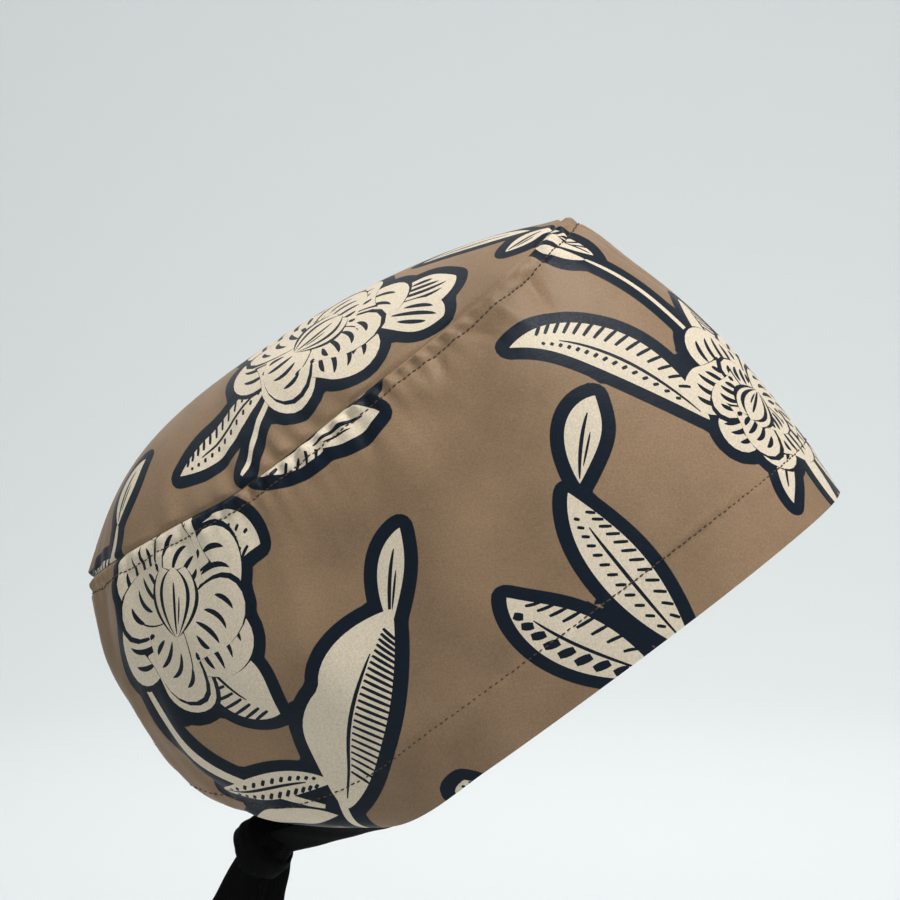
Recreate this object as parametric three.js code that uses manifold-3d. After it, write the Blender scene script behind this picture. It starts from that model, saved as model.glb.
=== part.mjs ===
// Surgical scrub cap, tie-back, in the form that it has when worn.
// Millimetres, +Z up. The wearer faces -Y, and +X is the wearer's left.
// The shape is worked out in the cap's own upright frame, in which the hem plane is z = 0 and y runs
// from the forehead (-) to the nape (+). One group then tilts it back by TILT, as it sits on a head.
// An angle round the head is 0 at the forehead, 90 at the left ear, -90 at the right ear and 180 at
// the centre back. A level runs from 0 at the hem's edge to 1 at the crown seam.

import * as THREE from "three";
import { mergeVertices } from "three/addons/utils/BufferGeometryUtils.js";
import Module from "manifold-3d";

const wasm = await Module();
wasm.setup();

// ---------------------------------------------------------------- driving dimensions

const TILT = 38;                // degrees that the hem plane drops towards the nape
const CLOTH = 1.5;              // wall of the crown panel and of the band
const HEM_DEPTH = 25;           // turned-up hem at the band's lower edge
const HEM_EXTRA = 0.7;          // what the turned-up layer adds inside the wall
const SEAM_GAP = 0.4;           // between the crown's edge and the band's edge, along the cloth
const OVAL_POWER = 2.25;        // 2 would be an ellipse; a head is a little squarer
const WIDEST_AT = 0.52;         // where the oval is widest, from the forehead to the back

const CROWN_CENTRE_Y = 36;      // the crown's highest point lies behind the middle
const CROWN_TOP = 172;
const CROWN_FULLNESS = { front: 2.1, back: 2.9 };

const TUCK = { angle: 152, spread: 15, depth: 9, reach: 16 };   // nape casing rolled under

const TAPE_WIDTH = 20;
const TAPE_THICKNESS = 1.2;
const TAPE_GAP = 0.9;           // between the casing and the tape that lies inside it
const TAPE_PEEP = 2.5;          // how far the tape shows below the casing
const KNOT = { y: 134, z: 22, radii: [11, 13, 12] };
const CASED_ANGLES = [122, 128, 134, 140, 145];  // where the tape follows the casing
const TAPE_SAG = { x: -7, y: -12, z: -10 };   // bow of the tape between the casing and the knot
const CUT_GAP = 0.4;            // between the knot and each tape that meets it

const AROUND = 96;              // steps round the head
const BAND_STEPS = 11;
const CROWN_STEPS = 9;

// Outline of the cap at each height above the hem plane.
const SECTIONS = [
  { height: 0, front: 121, back: 114, halfWidth: 74 },
  { height: 30, front: 123, back: 128, halfWidth: 77 },
  { height: 66, front: 121, back: 139, halfWidth: 78 },
  { height: 100, front: 117, back: 137, halfWidth: 75 },
  { height: 126, front: 110, back: 129, halfWidth: 68 },
  { height: 144, front: 100, back: 120, halfWidth: 60 },
];

// Height of the hem's edge and of the crown seam, the same on both sides of the head.
const EDGES = [
  { angle: 0, hem: 0, seam: 140 },
  { angle: 12, hem: 0, seam: 137 },
  { angle: 30, hem: 1, seam: 131 },
  { angle: 60, hem: 2, seam: 129 },
  { angle: 110, hem: 3, seam: 129 },
  { angle: 135, hem: 4, seam: 135 },
  { angle: 150, hem: 14, seam: 139 },
  { angle: 160, hem: 31, seam: 141 },
  { angle: 170, hem: 52, seam: 142.5 },
  { angle: 180, hem: 60, seam: 143 },
];

// Soft folds and dents of the band. Depth is outward; lean moves a fold's line round the head, in
// degrees for each whole level that it climbs.
const BAND_FOLDS = [
  { angle: -13, level: 0.82, wide: 7, tall: 0.24, lean: 6, depth: 2.0 },
  { angle: -26, level: 0.80, wide: 8, tall: 0.20, lean: 10, depth: -1.6 },
  { angle: -57, level: 0.88, wide: 9, tall: 0.10, lean: 20, depth: -2.0 },
  { angle: -70, level: 0.70, wide: 9, tall: 0.30, lean: 25, depth: 1.3 },
  { angle: -98, level: 0.55, wide: 11, tall: 0.35, lean: -20, depth: -1.6 },
  { angle: -116, level: 0.50, wide: 7, tall: 0.35, lean: 12, depth: 1.4 },
  { angle: -138, level: 0.40, wide: 7, tall: 0.30, lean: -25, depth: -2.2 },
  { angle: -154, level: 0.42, wide: 5, tall: 0.34, lean: -22, depth: 3.2 },
  { angle: -168, level: 0.55, wide: 6, tall: 0.40, lean: -10, depth: -2.6 },
  { angle: 178, level: 0.50, wide: 6, tall: 0.40, lean: 0, depth: 1.8 },
  { angle: 165, level: 0.50, wide: 6, tall: 0.40, lean: 12, depth: -2.4 },
  { angle: 150, level: 0.40, wide: 6, tall: 0.32, lean: 20, depth: 2.6 },
  { angle: 128, level: 0.50, wide: 8, tall: 0.34, lean: 18, depth: -1.8 },
  { angle: 96, level: 0.62, wide: 10, tall: 0.32, lean: 15, depth: 1.4 },
  { angle: 64, level: 0.84, wide: 9, tall: 0.14, lean: -20, depth: -1.8 },
  { angle: 24, level: 0.80, wide: 8, tall: 0.22, lean: -8, depth: -1.4 },
  { angle: 11, level: 0.82, wide: 6, tall: 0.22, lean: -5, depth: 1.4 },
];

// Soft folds of the crown. Inset runs from 0 at the seam to 1 at the crown's highest point.
const CROWN_FOLDS = [
  { angle: -112, inset: 0.22, wide: 10, tall: 0.26, lean: 25, depth: -2.6 },
  { angle: -72, inset: 0.30, wide: 12, tall: 0.26, lean: -15, depth: 1.2 },
  { angle: -150, inset: 0.20, wide: 9, tall: 0.22, lean: 10, depth: 1.6 },
  { angle: 172, inset: 0.16, wide: 8, tall: 0.18, lean: 0, depth: -1.8 },
  { angle: 140, inset: 0.22, wide: 10, tall: 0.22, lean: -12, depth: 1.4 },
  { angle: 104, inset: 0.24, wide: 10, tall: 0.24, lean: -20, depth: -2.0 },
  { angle: 50, inset: 0.24, wide: 12, tall: 0.24, lean: 10, depth: 1.0 },
];

// Centre line of each tail below the knot, as rows from the knot down to its free end.
// Offsets are from the knot's centre in the worn frame: x sideways, y backward, drop downward.
const TAIL_LINES = {
  right: [
    { x: -3, y: 3, drop: 4, wide: 0.75, turn: 76 },
    { x: -5, y: 9, drop: 20, wide: 0.95, turn: 80 },
    { x: -7, y: 20, drop: 46, wide: 1, turn: 84 },
    { x: -8, y: 28, drop: 76, wide: 1, turn: 78 },
    { x: -7, y: 33, drop: 100, wide: 1, turn: 70 },
    { x: -5, y: 35, drop: 116, wide: 1, turn: 64 },
  ],
  left: [
    { x: 3, y: -2, drop: 4, wide: 0.75, turn: 104 },
    { x: 5, y: 3, drop: 20, wide: 0.95, turn: 100 },
    { x: 8, y: 6, drop: 46, wide: 1, turn: 94 },
    { x: 10, y: 10, drop: 76, wide: 1, turn: 100 },
    { x: 11, y: 15, drop: 100, wide: 1, turn: 108 },
    { x: 11, y: 18, drop: 116, wide: 1, turn: 114 },
  ],
};

// ---------------------------------------------------------------- small helpers

const radians = THREE.MathUtils.degToRad;
const { lerp, smoothstep } = THREE.MathUtils;

// Smooth curve through a table's rows: cubic pieces whose slope at a row is that of the line
// between the row's neighbours. Flat ends join a half turn to its mirror without a kink.
function readTable(rows, key, column, value, flatEnds = false) {
  const last = rows.length - 1;
  const at = THREE.MathUtils.clamp(value, rows[0][key], rows[last][key]);
  let i = 0;
  while (i < last - 1 && at > rows[i + 1][key]) i += 1;
  const slope = (j) => {
    if (flatEnds && (j === 0 || j === last)) return 0;
    const before = rows[Math.max(j - 1, 0)];
    const after = rows[Math.min(j + 1, last)];
    return (after[column] - before[column]) / (after[key] - before[key]);
  };
  const span = rows[i + 1][key] - rows[i][key];
  const t = (at - rows[i][key]) / span;
  const [a, b] = [rows[i][column], rows[i + 1][column]];
  const [p, q] = [slope(i) * span, slope(i + 1) * span];
  return a + t * (p + t * (3 * (b - a) - 2 * p - q + t * (2 * (a - b) + p + q)));
}

// Shortest way round from one angle to another, in degrees.
function turnBetween(from, to) {
  return ((to - from + 540) % 360) - 180;
}

// Sum of the soft folds at a place: each is a bell in both directions.
function foldDepth(folds, heightKey, angle, height) {
  let depth = 0;
  for (const fold of folds) {
    const rise = height - fold[heightKey];
    const aside = turnBetween(fold.angle + fold.lean * rise, angle) / fold.wide;
    depth += fold.depth * Math.exp(-aside * aside - (rise / fold.tall) ** 2);
  }
  return depth;
}

// Closed mesh from vertices and triangles.
function solidGeometry(points, triangles) {
  const geometry = new THREE.BufferGeometry();
  const flat = new Float32Array(points.length * 3);
  points.forEach((point, i) => point.toArray(flat, i * 3));
  geometry.setAttribute("position", new THREE.BufferAttribute(flat, 3));
  geometry.setIndex(triangles);
  geometry.computeVertexNormals();
  return geometry;
}

function piece(name, geometry, material) {
  const mesh = new THREE.Mesh(geometry, material);
  mesh.name = name;
  return mesh;
}

// ---------------------------------------------------------------- the cap's outer surface

// Point of the cap's oval at a height, before the folds.
function ovalPoint(angle, height) {
  const front = readTable(SECTIONS, "height", "front", height);
  const back = readTable(SECTIONS, "height", "back", height);
  const halfWidth = readTable(SECTIONS, "height", "halfWidth", height);
  const middle = -front + WIDEST_AT * (front + back);
  const turn = radians(angle);
  const reach = Math.cos(turn) > 0 ? front + middle : back - middle;
  const along = Math.abs(Math.cos(turn) / reach) ** OVAL_POWER;
  const across = Math.abs(Math.sin(turn) / halfWidth) ** OVAL_POWER;
  const radius = (along + across) ** (-1 / OVAL_POWER);
  return new THREE.Vector3(radius * Math.sin(turn), middle - radius * Math.cos(turn), height);
}

function edgeHeight(angle, column) {
  return readTable(EDGES, "angle", column, Math.abs(turnBetween(0, angle)), true);
}

// Level of the band at a distance above the hem's edge.
function levelAt(angle, distance) {
  return distance / (edgeHeight(angle, "seam") - edgeHeight(angle, "hem"));
}

// The band's outer face: its oval, pushed in or out by the folds and rolled under at the nape.
function bandPoint(angle, level) {
  const hem = edgeHeight(angle, "hem");
  const height = lerp(hem, edgeHeight(angle, "seam"), level);
  const point = ovalPoint(angle, height);
  const outward = new THREE.Vector3(Math.sin(radians(angle)), -Math.cos(radians(angle)), 0);
  const held = smoothstep(1 - level, 0, 0.12) * smoothstep(level, -0.05, 0.12);
  point.addScaledVector(outward, held * foldDepth(BAND_FOLDS, "level", angle, level));
  const aside = turnBetween(TUCK.angle, Math.abs(turnBetween(0, angle))) / TUCK.spread;
  const under = Math.max(0, 1 - (height - hem) / TUCK.reach);
  return point.addScaledVector(outward, -TUCK.depth * under * under * Math.exp(-aside * aside));
}

// The crown's outer face: the seam line drawn in to the crown's centre, and domed.
function crownPoint(angle, inset) {
  const edge = bandPoint(angle, 1);
  const away = 1 - inset;
  const back = 0.5 - 0.5 * Math.cos(radians(angle));
  const fullness = lerp(CROWN_FULLNESS.front, CROWN_FULLNESS.back, back);
  const held = smoothstep(inset, 0, 0.1);
  return new THREE.Vector3(
    edge.x * away,
    lerp(CROWN_CENTRE_Y, edge.y, away),
    edge.z + (CROWN_TOP - edge.z) * (1 - away ** fullness)
      + held * foldDepth(CROWN_FOLDS, "inset", angle, inset),
  );
}

// Outward direction of a surface, from two short steps along it.
function outwardNormal(surface, angle, height, step) {
  const low = Math.max(height - step, 0);
  const high = Math.min(height + step, 1);
  const round = surface(angle + 1, height).sub(surface(angle - 1, height));
  const up = surface(angle, high).sub(surface(angle, low));
  return round.cross(up).normalize();
}

const bandNormal = (angle, level) => outwardNormal(bandPoint, angle, level, 0.02);
const crownNormal = (angle, inset) => outwardNormal(crownPoint, angle, Math.min(inset, 0.93), 0.03);

// Inward step that carries both walls to the same mitred line along the seam.
function seamMitre(angle) {
  const band = bandNormal(angle, 0.97);
  const crown = crownNormal(angle, 0.03);
  const reach = -CLOTH / (1 + band.dot(crown));
  return band.add(crown).multiplyScalar(reach);
}

// The inner face lies a cloth's thickness inside the outer one, and more within the hem.
function bandInner(angle, level) {
  const distance = level / levelAt(angle, 1);
  const inHem = 1 - smoothstep(distance, HEM_DEPTH - 2, HEM_DEPTH + 2);
  const straight = bandNormal(angle, level).multiplyScalar(-(CLOTH + HEM_EXTRA * inHem));
  return bandPoint(angle, level).add(straight.lerp(seamMitre(angle), smoothstep(level, 0.9, 1)));
}

function crownInner(angle, inset) {
  const straight = crownNormal(angle, inset).multiplyScalar(-CLOTH);
  const fade = 1 - smoothstep(inset, 0, 0.12);
  return crownPoint(angle, inset).add(straight.lerp(seamMitre(angle), fade));
}

// ---------------------------------------------------------------- pieces

// A ring-shaped wall: two grids round the head, joined along the hem and along the seam.
function bandGeometry() {
  const top = (angle) => 1 - levelAt(angle, SEAM_GAP / 2);
  const levels = [0, 0.05, 0.11, 0.16, 0.2];
  const rest = BAND_STEPS - levels.length + 1;
  for (let j = 1; j <= rest; j += 1) levels.push(lerp(0.2, 1, j / rest));
  const points = [];
  for (const face of [bandPoint, bandInner]) {
    for (const level of levels) {
      for (let i = 0; i < AROUND; i += 1) {
        const angle = (i * 360) / AROUND;
        points.push(face(angle, level * top(angle)));
      }
    }
  }
  const triangles = [];
  const rows = levels.length;
  const at = (row, i) => row * AROUND + (i % AROUND);
  const quad = (a, b, c, d) => triangles.push(a, b, c, a, c, d);
  for (let i = 0; i < AROUND; i += 1) {
    for (let j = 0; j < rows - 1; j += 1) {
      quad(at(j, i), at(j, i + 1), at(j + 1, i + 1), at(j + 1, i));
      const k = rows + j;
      quad(at(k, i), at(k + 1, i), at(k + 1, i + 1), at(k, i + 1));
    }
    quad(at(0, i), at(rows, i), at(rows, i + 1), at(0, i + 1));
    quad(at(rows - 1, i), at(rows - 1, i + 1), at(2 * rows - 1, i + 1), at(2 * rows - 1, i));
  }
  return solidGeometry(points, triangles);
}

// A dome-shaped wall: two grids from the seam to one point each, joined along the seam.
function crownGeometry() {
  const first = (angle) => SEAM_GAP / 2 / bandPoint(angle, 1).distanceTo(crownPoint(0, 1));
  const points = [];
  for (const face of [crownPoint, crownInner]) {
    for (let j = 0; j < CROWN_STEPS; j += 1) {
      for (let i = 0; i < AROUND; i += 1) {
        const angle = (i * 360) / AROUND;
        points.push(face(angle, lerp(first(angle), 1, j / CROWN_STEPS)));
      }
    }
    points.push(face(0, 1));
  }
  const triangles = [];
  const face = AROUND * CROWN_STEPS + 1;
  const at = (side, row, i) => side * face + row * AROUND + (i % AROUND);
  const quad = (a, b, c, d) => triangles.push(a, b, c, a, c, d);
  for (let i = 0; i < AROUND; i += 1) {
    for (let j = 0; j < CROWN_STEPS - 1; j += 1) {
      quad(at(0, j, i), at(0, j, i + 1), at(0, j + 1, i + 1), at(0, j + 1, i));
      quad(at(1, j, i), at(1, j + 1, i), at(1, j + 1, i + 1), at(1, j, i + 1));
    }
    const last = CROWN_STEPS - 1;
    triangles.push(at(0, last, i), at(0, last, i + 1), face - 1);
    triangles.push(at(1, last, i + 1), at(1, last, i), 2 * face - 1);
    quad(at(0, 0, i), at(1, 0, i), at(1, 0, i + 1), at(0, 0, i + 1));
  }
  return solidGeometry(points, triangles);
}

// A strip of tape through cross-sections. Each section lists points from edge to edge, and the
// direction that its face looks in at each of them.
function stripGeometry(sections) {
  const points = [];
  for (const { line, faces } of sections) {
    for (const side of [-1, 1]) {
      line.forEach((point, k) => {
        points.push(point.clone().addScaledVector(faces[k], (side * TAPE_THICKNESS) / 2));
      });
    }
  }
  const triangles = [];
  const quad = (a, b, c, d) => triangles.push(a, b, c, a, c, d);
  const count = sections[0].line.length;
  const ring = [...Array(count).keys(), ...[...Array(count).keys()].map((k) => 2 * count - 1 - k)];
  for (let j = 0; j < sections.length - 1; j += 1) {
    const here = 2 * count * j;
    const there = here + 2 * count;
    ring.forEach((corner, k) => {
      const next = ring[(k + 1) % ring.length];
      quad(here + corner, here + next, there + next, there + corner);
    });
  }
  const end = 2 * count * (sections.length - 1);
  for (let k = 0; k < count - 1; k += 1) {
    quad(k, count + k, count + k + 1, k + 1);
    quad(end + k, end + k + 1, end + count + k + 1, end + count + k);
  }
  return solidGeometry(points, triangles);
}

const knotCentre = new THREE.Vector3(0, KNOT.y, KNOT.z);

// Points across a tape that is flat there, from its centre, width direction and direction of run.
function flatSection(centre, across, along, width, columns) {
  const face = new THREE.Vector3().crossVectors(along, across).normalize();
  const line = [];
  for (let k = 0; k < columns; k += 1) {
    line.push(centre.clone().addScaledVector(across, width * (k / (columns - 1) - 0.5)));
  }
  return { line, faces: line.map(() => face) };
}

// The tape lies inside the casing, leaves it near the nape and runs into the knot.
function tapeGeometry(side) {
  const inside = CLOTH + HEM_EXTRA + TAPE_GAP + TAPE_THICKNESS / 2;
  const columns = 6;
  const sections = CASED_ANGLES.map((angle) => {
    const turned = side * angle;
    const line = [];
    const faces = [];
    for (let k = 0; k < columns; k += 1) {
      const distance = lerp(-TAPE_PEEP, TAPE_WIDTH - TAPE_PEEP, k / (columns - 1));
      const level = levelAt(turned, distance);
      const face = bandNormal(turned, Math.max(level, 0.03));
      line.push(bandPoint(turned, level).addScaledVector(face, -inside));
      faces.push(face.multiplyScalar(side));
    }
    return { line, faces };
  });
  const last = sections[sections.length - 1];
  const across = new THREE.Vector3(0, 0.45, 0.9).normalize();
  const middle = last.line[0].clone().lerp(last.line[columns - 1], 0.5);
  const along = knotCentre.clone().sub(middle).normalize();
  across.addScaledVector(along, -across.dot(along)).normalize();
  const entry = flatSection(knotCentre, across, along, TAPE_WIDTH * 0.6, columns);
  for (const part of [0.1, 0.25, 0.45, 0.7, 1]) {
    const bow = new THREE.Vector3(side * TAPE_SAG.x, TAPE_SAG.y, TAPE_SAG.z);
    bow.multiplyScalar(Math.sin(Math.PI * Math.sqrt(part)));
    sections.push({
      line: last.line.map((point, k) => point.clone().lerp(entry.line[k], part).add(bow)),
      faces: last.faces.map((face, k) => face.clone().lerp(entry.faces[k], part).normalize()),
    });
  }
  return stripGeometry(sections);
}

// A tail hangs from the knot. Its line is given in the worn frame and turned into the cap's own.
function tailGeometry(rows) {
  const back = new THREE.Matrix4().makeRotationX(radians(TILT));
  const centres = rows.map((row) => new THREE.Vector3(row.x, row.y, -row.drop));
  const sections = rows.map((row, j) => {
    const before = centres[Math.max(j - 1, 0)];
    const after = centres[Math.min(j + 1, centres.length - 1)];
    const along = after.clone().sub(before).normalize();
    const turn = radians(row.turn);
    const across = new THREE.Vector3(Math.cos(turn), Math.sin(turn), 0);
    across.addScaledVector(along, -across.dot(along)).normalize();
    const { line, faces } = flatSection(centres[j], across, along, TAPE_WIDTH * row.wide, 2);
    for (const point of line) point.applyMatrix4(back).add(knotCentre);
    faces[0].applyMatrix4(back);
    return { line, faces };
  });
  return stripGeometry(sections);
}

// The knot's outer form: an egg with a shallow groove round it where the tape crosses itself.
function knotGeometry(grow = 0) {
  const geometry = new THREE.SphereGeometry(1, 20, 12);
  const position = geometry.attributes.position;
  const point = new THREE.Vector3();
  for (let i = 0; i < position.count; i += 1) {
    point.fromBufferAttribute(position, i);
    const groove = 1 - 0.12 * Math.exp(-(((point.y - 0.25 * point.x) / 0.25) ** 2));
    position.setXYZ(
      i,
      point.x * (KNOT.radii[0] * groove + grow),
      point.y * (KNOT.radii[1] + grow) + KNOT.y,
      point.z * (KNOT.radii[2] * groove + grow) + KNOT.z,
    );
  }
  geometry.computeVertexNormals();
  return geometry;
}

// ---------------------------------------------------------------- cutting a tape at the knot

function toManifold(geometry) {
  const bare = geometry.clone();
  bare.deleteAttribute("normal");
  bare.deleteAttribute("uv");
  const merged = mergeVertices(bare, 1e-4);
  return new wasm.Manifold(new wasm.Mesh({
    numProp: 3,
    vertProperties: new Float32Array(merged.attributes.position.array),
    triVerts: new Uint32Array(merged.index.array),
  }));
}

function cutByKnot(geometry) {
  const mesh = toManifold(geometry).subtract(toManifold(knotGeometry(CUT_GAP))).getMesh();
  const result = new THREE.BufferGeometry();
  result.setAttribute("position", new THREE.BufferAttribute(mesh.vertProperties, 3));
  result.setIndex(new THREE.BufferAttribute(mesh.triVerts, 1));
  result.computeVertexNormals();
  return result;
}

// ---------------------------------------------------------------- the assembly

const sateen = () => new THREE.MeshStandardMaterial({ color: 0x8c735a, roughness: 0.62, metalness: 0 });
const tape = () => new THREE.MeshStandardMaterial({ color: 0x0b0b0c, roughness: 0.8, metalness: 0 });

const worn = new THREE.Group();
worn.rotation.x = -radians(TILT);
worn.add(piece("crown_panel", crownGeometry(), sateen()));
worn.add(piece("side_band", bandGeometry(), sateen()));
worn.add(piece("tape_right", cutByKnot(tapeGeometry(-1)), tape()));
worn.add(piece("tape_left", cutByKnot(tapeGeometry(1)), tape()));
worn.add(piece("tie_knot", knotGeometry(), tape()));
worn.add(piece("tie_tail_right", cutByKnot(tailGeometry(TAIL_LINES.right)), tape()));
worn.add(piece("tie_tail_left", cutByKnot(tailGeometry(TAIL_LINES.left)), tape()));

const cap = new THREE.Group();
cap.add(worn);

export default cap;
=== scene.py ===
"""Surgical scrub cap in printed cotton sateen, with black tapes knotted below the nape.

The cap's shape is worked out in its own upright frame, in millimetres: the hem plane is z = 0 and y runs
from the forehead (-) to the nape (+). It is then tilted back, as it sits on a head, and scaled to metres.
"""
import logging
import math
from dataclasses import dataclass, replace
from enum import Enum

import bpy
import numpy as np
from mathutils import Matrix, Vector
from mathutils.geometry import delaunay_2d_cdt
from mathutils.kdtree import KDTree


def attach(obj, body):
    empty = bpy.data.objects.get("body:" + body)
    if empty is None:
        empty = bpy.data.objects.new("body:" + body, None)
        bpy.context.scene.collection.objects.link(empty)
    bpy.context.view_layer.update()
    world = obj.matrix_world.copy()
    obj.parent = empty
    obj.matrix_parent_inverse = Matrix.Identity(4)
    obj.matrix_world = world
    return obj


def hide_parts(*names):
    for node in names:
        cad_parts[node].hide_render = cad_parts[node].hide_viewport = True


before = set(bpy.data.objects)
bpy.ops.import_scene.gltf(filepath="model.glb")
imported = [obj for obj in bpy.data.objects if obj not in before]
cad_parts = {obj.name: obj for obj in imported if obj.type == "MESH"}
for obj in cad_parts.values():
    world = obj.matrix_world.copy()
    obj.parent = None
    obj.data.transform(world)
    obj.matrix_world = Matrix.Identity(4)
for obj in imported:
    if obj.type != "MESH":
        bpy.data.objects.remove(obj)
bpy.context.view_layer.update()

LOG = logging.getLogger("scrub_cap")
MM = 0.001
BODY = "root"


# ---------------------------------------------------------------- small tools

def smooth_step(value: np.ndarray, low: float, high: float) -> np.ndarray:
    """Rise from 0 at low to 1 at high, level at both ends."""
    t = np.clip((value - low) / (high - low), 0.0, 1.0)
    return t * t * (3.0 - 2.0 * t)


def turn_between(start: np.ndarray, end: np.ndarray) -> np.ndarray:
    """Shortest way round from one angle to another, in degrees."""
    return (end - start + 540.0) % 360.0 - 180.0


def unit(vectors: np.ndarray) -> np.ndarray:
    """Scale each row to length one."""
    return vectors / np.maximum(np.linalg.norm(vectors, axis=-1, keepdims=True), 1e-12)


def read_table(keys: np.ndarray, values: np.ndarray, at: np.ndarray, flat_ends: bool = False) -> np.ndarray:
    """Read a smooth curve through a table's rows.

    Each stretch is a cubic whose slope at a row is that of the line between the row's neighbours.

    Args:
        keys: Rising key of each row.
        values: Value of each row.
        at: Keys to read at, held within the table.
        flat_ends: Level the curve at both ends, so that it meets its mirror image without a kink.

    Returns:
        The value at each key.
    """
    slope = np.gradient(values)
    slope[1:-1] = (values[2:] - values[:-2]) / (keys[2:] - keys[:-2])
    slope[0] = (values[1] - values[0]) / (keys[1] - keys[0])
    slope[-1] = (values[-1] - values[-2]) / (keys[-1] - keys[-2])
    if flat_ends:
        slope[0] = slope[-1] = 0.0
    at = np.clip(at, keys[0], keys[-1])
    i = np.clip(np.searchsorted(keys, at) - 1, 0, len(keys) - 2)
    span = keys[i + 1] - keys[i]
    t = (at - keys[i]) / span
    a, b, p, q = values[i], values[i + 1], slope[i] * span, slope[i + 1] * span
    return a + t * (p + t * (3 * (b - a) - 2 * p - q + t * (2 * (a - b) + p + q)))


def bezier(points: np.ndarray, t: np.ndarray) -> np.ndarray:
    """Bezier curve through the end points, drawn towards the others: a sum of Bernstein terms."""
    n = len(points) - 1
    terms = [math.comb(n, k) * t ** k * (1 - t) ** (n - k) for k in range(n + 1)]
    return sum(np.multiply.outer(term, point) for term, point in zip(terms, points))


# ---------------------------------------------------------------- the cap's form

@dataclass(frozen=True)
class Section:
    """Outline of the cap at one height above the hem plane, in mm."""

    height: float
    front: float
    back: float
    half_width: float


@dataclass(frozen=True)
class Edge:
    """Height of the hem's edge and of the crown seam at one angle from the forehead."""

    angle: float
    hem: float
    seam: float


@dataclass(frozen=True)
class Fold:
    """Soft fold or dent: a bell in both directions, whose line leans round the head as it climbs."""

    angle: float
    height: float
    wide: float
    tall: float
    lean: float
    depth: float


@dataclass(frozen=True)
class Crease:
    """Short crease pressed into the flat band, in mm: it leans round the head as it goes down."""

    across: float
    below: float
    wide: float
    tall: float
    lean: float
    height: float


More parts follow.
